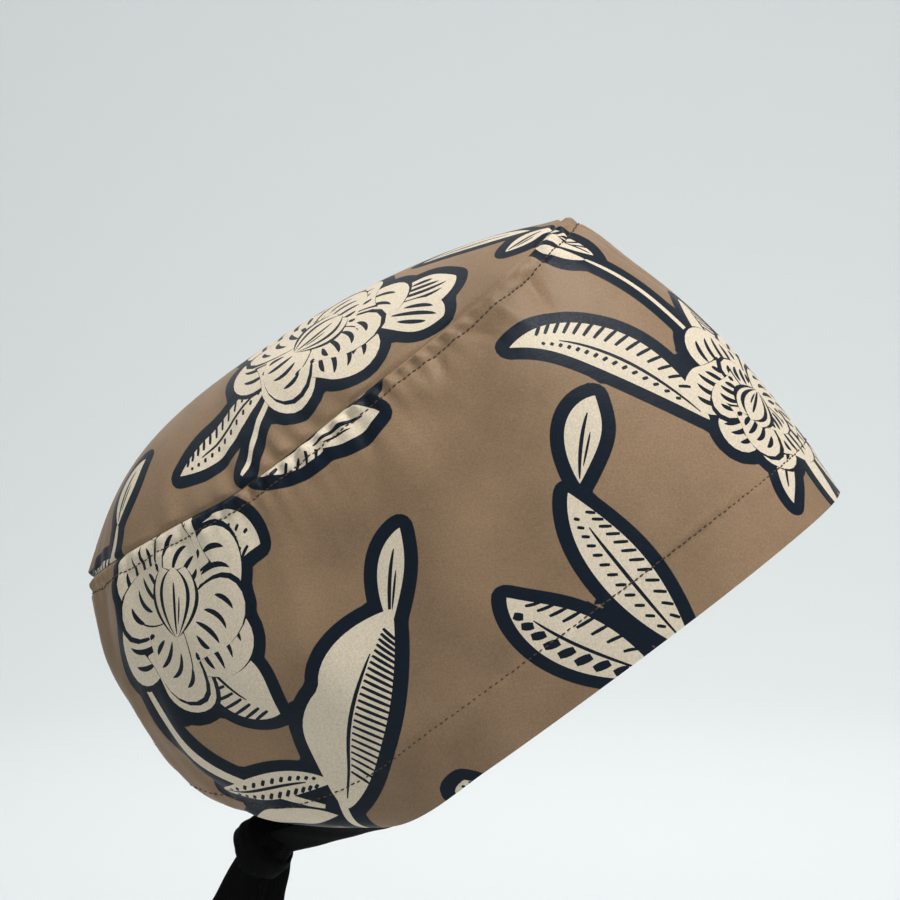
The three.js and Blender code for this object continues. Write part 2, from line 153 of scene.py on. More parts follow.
@dataclass
class CapForm:
    """The cap's outer surface, in the same terms as the CAD source, in mm and degrees."""

    tilt: float = 38.0
    power: float = 2.25
    widest_at: float = 0.52
    crown_y: float = 36.0
    crown_top: float = 172.0
    fullness: tuple[float, float] = (2.1, 2.9)
    tuck_angle: float = 152.0
    tuck_spread: float = 15.0
    tuck_depth: float = 9.0
    tuck_reach: float = 16.0
    sections: tuple[Section, ...] = (
        Section(0, 121, 114, 74),
        Section(30, 123, 128, 77),
        Section(66, 121, 139, 78),
        Section(100, 117, 137, 75),
        Section(126, 110, 129, 68),
        Section(144, 100, 120, 60),
    )
    edges: tuple[Edge, ...] = (
        Edge(0, 0, 140),
        Edge(12, 0, 137),
        Edge(30, 1, 131),
        Edge(60, 2, 129),
        Edge(110, 3, 129),
        Edge(135, 4, 135),
        Edge(150, 14, 139),
        Edge(160, 31, 141),
        Edge(170, 52, 142.5),
        Edge(180, 60, 143),
    )
    band_folds: tuple[Fold, ...] = (
        Fold(-13, 0.82, 7, 0.24, 6, 2.0),
        Fold(-26, 0.80, 8, 0.20, 10, -1.6),
        Fold(-57, 0.88, 9, 0.10, 20, -2.0),
        Fold(-70, 0.70, 9, 0.30, 25, 1.3),
        Fold(-98, 0.55, 11, 0.35, -20, -1.6),
        Fold(-116, 0.50, 7, 0.35, 12, 1.4),
        Fold(-138, 0.40, 7, 0.30, -25, -2.2),
        Fold(-154, 0.42, 5, 0.34, -22, 3.2),
        Fold(-168, 0.55, 6, 0.40, -10, -2.6),
        Fold(178, 0.50, 6, 0.40, 0, 1.8),
        Fold(165, 0.50, 6, 0.40, 12, -2.4),
        Fold(150, 0.40, 6, 0.32, 20, 2.6),
        Fold(128, 0.50, 8, 0.34, 18, -1.8),
        Fold(96, 0.62, 10, 0.32, 15, 1.4),
        Fold(64, 0.84, 9, 0.14, -20, -1.8),
        Fold(24, 0.80, 8, 0.22, -8, -1.4),
        Fold(11, 0.82, 6, 0.22, -5, 1.4),
    )
    crown_folds: tuple[Fold, ...] = (
        Fold(-112, 0.22, 10, 0.26, 25, -2.6),
        Fold(-72, 0.30, 12, 0.26, -15, 1.2),
        Fold(-150, 0.20, 9, 0.22, 10, 1.6),
        Fold(172, 0.16, 8, 0.18, 0, -1.8),
        Fold(140, 0.22, 10, 0.22, -12, 1.4),
        Fold(104, 0.24, 10, 0.24, -20, -2.0),
        Fold(50, 0.24, 12, 0.24, 10, 1.0),
    )

    def section(self, column: str, height: np.ndarray) -> np.ndarray:
        """One column of the section table at each height."""
        keys = np.array([row.height for row in self.sections], float)
        return read_table(keys, np.array([getattr(row, column) for row in self.sections], float), height)

    def edge(self, column: str, angle: np.ndarray) -> np.ndarray:
        """Height of the hem or of the seam at each angle, the same on both sides of the head."""
        keys = np.array([row.angle for row in self.edges], float)
        values = np.array([getattr(row, column) for row in self.edges], float)
        return read_table(keys, values, np.abs(turn_between(0.0, angle)), flat_ends=True)

    @staticmethod
    def fold_depth(folds: tuple[Fold, ...], angle: np.ndarray, height: np.ndarray) -> np.ndarray:
        """Sum of the soft folds at each place, outward."""
        depth = np.zeros(np.shape(angle))
        for fold in folds:
            rise = height - fold.height
            aside = turn_between(fold.angle + fold.lean * rise, angle) / fold.wide
            depth = depth + fold.depth * np.exp(-aside ** 2 - (rise / fold.tall) ** 2)
        return depth

    def oval(self, angle: np.ndarray, height: np.ndarray) -> np.ndarray:
        """Point of the cap's oval: a super-ellipse with a front and a back half of different reach."""
        front = self.section("front", height)
        back = self.section("back", height)
        middle = -front + self.widest_at * (front + back)
        turn = np.radians(angle)
        reach = np.where(np.cos(turn) > 0, front + middle, back - middle)
        along = np.abs(np.cos(turn) / reach) ** self.power
        across = np.abs(np.sin(turn) / self.section("half_width", height)) ** self.power
        radius = (along + across) ** (-1 / self.power)
        return np.stack([radius * np.sin(turn), middle - radius * np.cos(turn), height], -1)

    def band(self, angle: np.ndarray, level: np.ndarray) -> np.ndarray:
        """Point of the band: its oval, moved by the folds and rolled under at the nape."""
        hem = self.edge("hem", angle)
        height = hem + (self.edge("seam", angle) - hem) * level
        turn = np.radians(angle)
        outward = np.stack([np.sin(turn), -np.cos(turn), 0 * turn], -1)
        held = smooth_step(1 - level, 0, 0.12) * smooth_step(level, -0.05, 0.12)
        move = held * self.fold_depth(self.band_folds, angle, level)
        aside = turn_between(self.tuck_angle, np.abs(turn_between(0.0, angle))) / self.tuck_spread
        under = np.maximum(0.0, 1 - (height - hem) / self.tuck_reach)
        move = move - self.tuck_depth * under ** 2 * np.exp(-aside ** 2)
        return self.oval(angle, height) + outward * move[..., None]

    def crown(self, angle: np.ndarray, inset: np.ndarray) -> np.ndarray:
        """Point of the crown: the seam line drawn in to the crown's centre, and domed."""
        edge = self.band(angle, np.ones_like(angle))
        away = 1 - inset
        back = 0.5 - 0.5 * np.cos(np.radians(angle))
        power = self.fullness[0] + (self.fullness[1] - self.fullness[0]) * back
        fold = smooth_step(inset, 0, 0.1) * self.fold_depth(self.crown_folds, angle, inset)
        rise = (self.crown_top - edge[..., 2]) * (1 - away ** power)
        middle = self.crown_y + (edge[..., 1] - self.crown_y) * away
        return np.stack([edge[..., 0] * away, middle, edge[..., 2] + rise + fold], -1)

    def seam_mitre(self, angle: np.ndarray) -> np.ndarray:
        """Outward direction at the seam by which both walls move alike: their normals' sum, over 1 + dot."""
        top, rim = np.ones_like(angle), np.zeros_like(angle)
        east = self.band(angle + 0.5, top) - self.band(angle - 0.5, top)
        below = unit(np.cross(east, self.band(angle, top) - self.band(angle, top - 0.03)))
        above = unit(np.cross(east, self.crown(angle, rim + 0.03) - self.crown(angle, rim)))
        return (below + above) / (1 + (below * above).sum(-1, keepdims=True))

    def worn(self, points: np.ndarray) -> np.ndarray:
        """Tilt points of the cap's own frame back into the worn frame, and scale them to metres."""
        c, s = math.cos(math.radians(self.tilt)), math.sin(math.radians(self.tilt))
        x, y, z = points[..., 0], points[..., 1], points[..., 2]
        return np.stack([x, y * c + z * s, -y * s + z * c], -1) * MM


FORM = CapForm()


# ---------------------------------------------------------------- flat cloth and where it lies

class BandCloth:
    """The band laid flat: across is mm round the head from the forehead, up is mm above the hem plane."""

    stitch_height: float = 22.0
    strip: float = 5.5
    seam_gap: float = 0.15
    creases: tuple[Crease, ...] = (
        Crease(-124, 11, 8, 7, 0.5, 1.7),
        Crease(-111, 9, 3.2, 7, -0.6, -1.2),
        Crease(-94, 7, 3.0, 6, 0.5, -1.1),
        Crease(-80, 8, 4.5, 8, 0.3, 1.1),
        Crease(-63, 9, 3.0, 9, -0.4, -1.2),
        Crease(-46, 8, 3.5, 7, 0.5, 0.9),
        Crease(-18, 20, 5.0, 26, 0.25, -1.5),
        Crease(-150, 14, 4.0, 12, -0.5, -1.0),
        Crease(-205, 22, 6.0, 22, -0.4, -1.0),
        Crease(-286, 82, 4.5, 36, -0.25, -1.6),
        Crease(-300, 76, 4.0, 34, -0.2, 1.5),
        Crease(-316, 70, 4.5, 36, -0.12, -1.7),
        Crease(70, 9, 3.5, 8, 0.5, -1.1),
        Crease(104, 10, 6.0, 8, -0.5, 1.4),
        Crease(148, 12, 4.0, 12, 0.4, -1.1),
        Crease(292, 80, 5.0, 36, 0.25, -1.6),
        Crease(312, 74, 4.5, 34, 0.15, 1.5),
    )

    def __init__(self) -> None:
        """Measure the way round the head at mid-height."""
        self.angles = np.linspace(-180.0, 180.0, 1441)
        ring = FORM.oval(self.angles, np.full_like(self.angles, 70.0))
        steps = np.linalg.norm(np.diff(ring, axis=0), axis=1)
        lengths = np.concatenate([[0.0], np.cumsum(steps)])
        self.lengths = lengths - lengths[len(lengths) // 2]
        self.half = float(self.lengths[-1])

    def outline(self, step: float) -> np.ndarray:
        """Closed outline of the flat band, anticlockwise, with points a step apart."""
        count = int(2 * self.half / step)
        across = np.linspace(-self.half, self.half, count + 1)
        angle = np.interp(across, self.lengths, self.angles)
        hem, seam = FORM.edge("hem", angle), FORM.edge("seam", angle) - self.seam_gap
        side = np.linspace(hem[0], seam[0], int((seam[0] - hem[0]) / step))[1:-1]
        bottom = np.stack([across, hem], -1)
        right = np.stack([np.full_like(side, self.half), side], -1)
        top = np.stack([across, seam], -1)[::-1]
        left = np.stack([np.full_like(side, -self.half), side[::-1]], -1)
        return np.concatenate([bottom, right, top, left])

    def place(self, flat: np.ndarray) -> tuple[np.ndarray, np.ndarray]:
        """Angle and level of each flat point."""
        angle = np.interp(flat[:, 0], self.lengths, self.angles)
        hem = FORM.edge("hem", angle)
        return angle, np.clip((flat[:, 1] - hem) / (FORM.edge("seam", angle) - hem), 0.0, 1.0)

    def seam_distance(self, flat: np.ndarray) -> np.ndarray:
        """Distance of each flat point below the seam, in mm."""
        return FORM.edge("seam", self.place(flat)[0]) - flat[:, 1]

    def relief(self, flat: np.ndarray) -> np.ndarray:
        """Height of the small relief at each flat point, in mm.

        The seam's pressed strip is puckered by its topstitch, the cloth dips into the seam and into each
        row of stitches, and the folded hem stands a little proud.
        """
        angle = self.place(flat)[0]
        hem = FORM.edge("hem", angle)
        below = FORM.edge("seam", angle) - flat[:, 1]
        above = flat[:, 1] - hem
        a = flat[:, 0]
        pucker = np.sin(a / 1.25 + 1.6 * np.sin(a / 17.0)) * (0.6 + 0.4 * np.sin(a / 29.0 + 1.0))
        pucker = pucker + 0.5 * np.sin(a / 2.6 + 2.0 * np.sin(a / 23.0))
        strip = np.exp(-((below - 2.6) / 2.4) ** 2) * smooth_step(below, 0.1, 1.8)
        tail = np.exp(-np.maximum(below - self.strip, 0) / 9.0) * smooth_step(below, 4.0, 7.0)
        slow = np.sin(a / 5.2 + 1.8 * np.sin(a / 37.0)) * (0.5 + 0.5 * np.sin(a / 41.0 + 2.0))
        height = 1.15 * pucker * strip + 1.35 * (slow + 0.3 * pucker) * tail
        for crease in self.creases:
            down = below - crease.below
            aside = (a - crease.across - crease.lean * down) / crease.wide
            bell = np.exp(-aside ** 2 - (down / crease.tall) ** 2)
            height = height + crease.height * bell * smooth_step(below, 1.0, 5.0) * smooth_step(above, 1, 10)
        height = height - 0.85 * np.exp(-(below / 0.9) ** 2)
        height = height - 0.38 * np.exp(-((below - self.strip) / 0.6) ** 2)
        height = height + 0.45 * strip
        hem_pull = np.sin(a / 1.5 + 1.4 * np.sin(a / 19.0))
        hem_pull = hem_pull * np.exp(-((above - self.stitch_height) / 2.2) ** 2)
        height = height + 0.10 * hem_pull - 0.34 * np.exp(-((above - self.stitch_height) / 0.55) ** 2)
        height = height + 0.30 * (1 - smooth_step(above, self.stitch_height, self.stitch_height + 3.5))
        ease = np.sin(a / 33.0 + 0.04 * flat[:, 1]) + 0.6 * np.sin(a / 19.0 - 0.07 * flat[:, 1] + 1.0)
        height = height + 1.0 * ease * smooth_step(above, 20, 45) * smooth_step(below, 4, 30)
        nape = np.exp(-((np.abs(angle) - 160) / 16.0) ** 2) * np.sin(a / 4.6 + 0.05 * flat[:, 1])
        return height + 1.2 * nape * smooth_step(above, 2, 14) * smooth_step(below, 2, 12)

    def surface(self, flat: np.ndarray) -> np.ndarray:
        """Smooth surface point for each flat point, without the relief."""
        return FORM.band(*self.place(flat))


class CrownCloth:
    """The crown laid flat: mm from its centre, with x to the wearer's left and y to the back."""

    def __init__(self) -> None:
        """Measure the way from the crown's centre to the seam in each direction, along the dome."""
        angles = np.linspace(-180.0, 180.0, 721)
        insets = np.linspace(0.0, 1.0, 41)
        grid_angle, grid_inset = np.meshgrid(angles, insets, indexing="ij")
        points = FORM.crown(grid_angle, grid_inset)
        steps = np.linalg.norm(np.diff(points, axis=1), axis=2)
        self.reach = steps.sum(1)
        edge = points[:, 0]
        heading = np.unwrap(np.arctan2(edge[:, 0], -(edge[:, 1] - FORM.crown_y)))
        self.angles, self.headings = angles, heading
        share = 1 - np.concatenate([np.zeros((len(angles), 1)), np.cumsum(steps, 1)], 1) / self.reach[:, None]
        self.share, self.insets = share.mean(0)[::-1], insets[::-1]

    def outline(self, step: float) -> np.ndarray:
        """Closed outline of the flat crown, anticlockwise, with points about a step apart."""
        count = int(self.reach.mean() * 2 * math.pi / step)
        heading = np.linspace(-math.pi, math.pi, count, endpoint=False)
        reach = np.interp(heading, self.headings, self.reach) - BandCloth.seam_gap
        return np.stack([reach * np.sin(heading), -reach * np.cos(heading)], -1)

    def place(self, flat: np.ndarray) -> tuple[np.ndarray, np.ndarray]:
        """Angle and inset of each flat point."""
        heading = np.arctan2(flat[:, 0], -flat[:, 1])
        share = np.hypot(flat[:, 0], flat[:, 1]) / np.interp(heading, self.headings, self.reach)
        angle = np.interp(heading, self.headings, self.angles)
        return angle, np.interp(np.clip(share, 0, 1), self.share, self.insets)

    def seam_distance(self, flat: np.ndarray) -> np.ndarray:
        """Distance of each flat point in from the seam, in mm."""
        heading = np.arctan2(flat[:, 0], -flat[:, 1])
        return np.interp(heading, self.headings, self.reach) - np.hypot(flat[:, 0], flat[:, 1])

    def relief(self, flat: np.ndarray) -> np.ndarray:
        """Height of the small relief: gathers that run in from the seam, and the dip at the seam itself."""
        angle, _ = self.place(flat)
        heading = np.arctan2(flat[:, 0], -flat[:, 1])
        inside = self.seam_distance(flat)
        a = heading * 100.0
        gathers = np.sin(a / 2.4 + 2.2 * np.sin(a / 21.0)) * (0.55 + 0.45 * np.sin(a / 31.0))
        gathers = gathers + 0.6 * np.sin(a / 5.1 + 2.0 * np.sin(a / 27.0))
        bunched = 1.0 + 1.4 * np.exp(-((np.abs(angle) - 180) / 26.0) ** 2)
        height = 0.85 * gathers * bunched * np.exp(-inside / 10.0) * smooth_step(inside, 0.0, 2.0)
        height = height - 0.85 * np.exp(-(inside / 0.9) ** 2)
        ease = np.sin(flat[:, 0] / 17.0 + 1.3) * np.sin(flat[:, 1] / 23.0 + 0.4)
        return height + 0.4 * ease * smooth_step(inside, 5, 35)

    def surface(self, flat: np.ndarray) -> np.ndarray:
        """Smooth surface point for each flat point, without the relief."""
        return FORM.crown(*self.place(flat))


def lie(cloth: BandCloth | CrownCloth, flat: np.ndarray) -> tuple[np.ndarray, ...]:
    """Lay flat points on the cap.

    The normal comes from short steps both ways along the flat cloth, with the relief added.

    Args:
        cloth: The panel.
        flat: Flat points in mm.

    Returns:
        Points in the cap's own frame, in mm, their outward unit normals, and the way the wall is offset,
        which turns into the seam's mitre near the seam so that the two panels don't cross.
    """
    def smooth_normal(at: np.ndarray, step: float) -> np.ndarray:
        """Normal of the surface without its relief."""
        east = cloth.surface(at + [step, 0]) - cloth.surface(at - [step, 0])
        north = cloth.surface(at + [0, step]) - cloth.surface(at - [0, step])
        return unit(np.cross(east, north))

    base = smooth_normal(flat, 1.2)
    near_seam = np.exp(-(np.maximum(cloth.seam_distance(flat), 0) / 2.0) ** 2)[:, None]
    offset = base + (FORM.seam_mitre(cloth.place(flat)[0]) - base) * near_seam

    def raised(at: np.ndarray) -> np.ndarray:
        """Surface with its relief, in a fixed direction."""
        return cloth.surface(at) + offset * cloth.relief(at)[:, None]

    step = 0.35
    east = raised(flat + [step, 0]) - raised(flat - [step, 0])
    north = raised(flat + [0, step]) - raised(flat - [0, step])
    normal = unit(np.cross(east, north))
    weak = (normal * base).sum(1) < 0.2
    normal[weak] = base[weak]
    return raised(flat), normal, offset


# ---------------------------------------------------------------- the print

class Ink(Enum):
    """What a shape of the print is drawn in. The navy ground that joins a motif isn't drawn."""

    CREAM = 1
    NAVY = 2


class Detail(Enum):
    """How a leaf is filled in."""

    PLAIN = "plain"
    RIB = "rib"
    COMB = "comb"
    DASHES = "dashes"
    LADDER = "ladder"
    HATCH = "hatch"
    FAN = "fan"


Shape = tuple[np.ndarray, Ink]


def stroke(line: np.ndarray, width: float, taper: float = 0.7) -> np.ndarray:
    """Outline of a line of the given width, which narrows towards both of its ends."""
    along = unit(np.gradient(line, axis=0))
    side = np.stack([-along[:, 1], along[:, 0]], -1)
    t = np.linspace(0, 1, len(line))
    half = 0.5 * width * ((1 - taper) + taper * np.sin(math.pi * t) ** 0.6)
    return np.concatenate([line + side * half[:, None], (line - side * half[:, None])[::-1]])


@dataclass(frozen=True)
class Leaf:
    """One leaf, bud or petal: a bent blade from its foot to its tip, in flat mm."""

    foot: tuple[float, float]
    tip: tuple[float, float]
    bend: float = 0.0
    left: float = 6.0
    right: float = 6.0
    widest: float = 0.45
    blunt: float = 0.9
    detail: Detail = Detail.RIB
    pitch: float = 3.0
    lobes: int = 0

    def spine(self, t: np.ndarray) -> np.ndarray:
        """Curve from foot to tip that bows to its left by the bend."""
        foot, tip = np.array(self.foot, float), np.array(self.tip, float)
        run = tip - foot
        side = np.array([-run[1], run[0]]) / max(np.linalg.norm(run), 1e-9)
        middle = 0.5 * (foot + tip) + 0.7 * run * 0.25 + 2 * self.bend * side
        return bezier(np.array([foot, middle, tip]), t)

    def at(self, t: np.ndarray, out: np.ndarray) -> np.ndarray:
        """Point at t along the spine and out to a side: 1 is the left edge, -1 the right edge."""
        fine = np.linspace(0, 1, 201)
        curve = self.spine(fine)
        along = unit(np.gradient(curve, axis=0))
        side = np.stack([-along[:, 1], along[:, 0]], -1)
        place = np.stack([np.interp(t, fine, curve[:, k]) for k in (0, 1)], -1)
        aside = np.stack([np.interp(t, fine, side[:, k]) for k in (0, 1)], -1)
        bulge = np.sin(math.pi * np.clip(t, 0, 1) ** (math.log(0.5) / math.log(self.widest))) ** self.blunt
        wide = np.where(np.asarray(out) > 0, self.left, self.right)
        if self.lobes:
            wave = np.abs(np.sin(math.pi * self.lobes * np.clip(t, 0, 1)))
            wide = np.where(np.asarray(out) > 0, wide * (0.72 + 0.28 * wave ** 0.7), wide)
        return place + aside * (out * wide * bulge)[:, None]

    def outline(self) -> np.ndarray:
        """Closed outline of the blade."""
        length = np.linalg.norm(np.subtract(self.tip, self.foot))
        count = int(np.clip(length / 1.1, 12, 46))
        t = 0.5 - 0.5 * np.cos(np.linspace(0, math.pi, count))
        left = self.at(t, np.ones(count))
        right = self.at(t[1:-1], -np.ones(count - 2))
        return np.concatenate([left, right[::-1]])

    def marks(self) -> list[np.ndarray]:
        """Navy strokes of the leaf's detail."""
        length = float(np.linalg.norm(np.subtract(self.tip, self.foot)))
        rib_t = np.linspace(0.04, 0.72, 14)
        rib = stroke(self.at(rib_t, np.zeros(14)), 1.3)
        steps = np.arange(0.12, 0.84, self.pitch / length)
        lean = 0.55 * self.pitch / length
        if self.detail is Detail.PLAIN:
            return []
        if self.detail is Detail.RIB:
            second = stroke(self.at(np.linspace(0.15, 0.5, 8), np.full(8, -0.4)), 0.8)
            return [rib, second]
        if self.detail is Detail.FAN:
            lines = []
            outs = (-0.62, -0.3, 0.02, 0.34, 0.66) if self.left > 9 else (-0.45, 0.05, 0.5)
            for out in outs:
                ts = np.linspace(0.3 + 0.25 * abs(out), 0.88 - 0.25 * abs(out), 9)
                lines.append(stroke(self.at(ts, np.full(9, out)), 1.9, 0.85))
            return lines
        spans = {
            Detail.COMB: [(-1.06, -0.42), (0.22, 0.5)],
            Detail.DASHES: [(-0.95, -0.45), (0.25, 0.6)],
            Detail.LADDER: [(0.2, 0.72), (-1.05, -0.5)],
            Detail.HATCH: [(-1.05, -0.1)],
        }[self.detail]
        marks = [rib]
        for k, (near, far) in enumerate(spans):
            wide = 1.25 if self.detail is not Detail.LADDER or k else 0.62 * self.pitch
            for t in steps:
                ts = np.linspace(t, t + lean * abs(far - near) * 2, 4)
                marks.append(stroke(self.at(ts, np.linspace(near, far, 4)), wide, 0.25))
        return marks

    def shapes(self, rim: float = 0.0) -> list[Shape]:
        """The leaf's shapes in painting order, with a navy rim that parts it from what lies under it."""
        shapes = []
        if rim:
            wider = replace(self, left=self.left + rim, right=self.right + rim)
            shapes.append((wider.outline(), Ink.NAVY))
        shapes.append((self.outline(), Ink.CREAM))
        shapes.extend((mark, Ink.NAVY) for mark in self.marks())
        return shapes


@dataclass(frozen=True)
class Stem:
    """A thin cream stem along a curve."""

    points: tuple[tuple[float, float], ...]
    width: float = 2.4

    def shapes(self) -> list[Shape]:
        """The stem as one long stroke."""
        line = bezier(np.array(self.points, float), np.linspace(0, 1, 30))
        return [(stroke(line, self.width, 0.5), Ink.CREAM)]


@dataclass(frozen=True)
class Bloom:
    """A flower: rings of overlapping petals round a centre, the outer ring first."""

    centre: tuple[float, float]
    reach: float
    petals: int = 7
    start: float = 0.0
    sweep: float = 360.0
    rings: tuple[float, ...] = (1.0, 0.6, 0.28)
    stretch: float = 1.0
    heart: float = 0.0

    def shapes(self) -> list[Shape]:
        """Petals of each ring, each with a thin navy rim, and a bud at the heart if there is one."""
        shapes: list[Shape] = []
        for ring, share in enumerate(self.rings):
            count = max(4, round(self.petals * (0.75 ** ring)))
            headings = self.start + self.sweep * (np.arange(count) + 0.5 * (ring % 2)) / count
            for heading in headings:
                reach = self.reach * share * (1 + 0.14 * math.sin(2.3 * heading + ring))
                direction = np.array([math.cos(math.radians(heading)), math.sin(math.radians(heading))])
                direction = direction * [self.stretch, 1.0]
                tip = np.add(self.centre, direction * reach)
                half = 1.9 * reach * math.sin(math.radians(0.5 * self.sweep / count)) * 0.62
                petal = Leaf(
                    tuple(np.add(self.centre, direction * 0.08 * reach)), tuple(tip),
                    bend=0.12 * reach, left=half, right=0.86 * half, widest=0.62, blunt=0.68,
                    detail=Detail.FAN if ring < 2 else Detail.PLAIN)
                shapes.extend(petal.shapes(rim=2.1))
        if self.heart:
            lean = np.array([math.cos(math.radians(self.heart)), math.sin(math.radians(self.heart))])
            for aside, size in ((-0.16, 0.2), (0.16, 0.2), (0.0, 0.17)):
                foot = np.add(self.centre, self.reach * (-0.24 * lean))
                tip = np.add(self.centre, self.reach * (0.4 * lean + aside * np.array([-lean[1], lean[0]])))
                bud = Leaf(tuple(foot), tuple(tip), left=size * self.reach, right=size * self.reach,
                           widest=0.5, blunt=0.75, detail=Detail.RIB)
                shapes.extend(bud.shapes(rim=1.8))
        return shapes


def moved(shapes: list[Shape], about: tuple[float, float], to: tuple[float, float],
          turn: float = 0.0, flip: bool = False) -> list[Shape]:
    """Copy shapes to another place: mirrored if asked, turned about a point, and carried to a new one."""
    c, s = math.cos(math.radians(turn)), math.sin(math.radians(turn))
    matrix = np.array([[c, -s], [s, c]]) @ np.diag([-1.0 if flip else 1.0, 1.0])
    return [((points - about) @ matrix.T + to, ink) for points, ink in shapes]


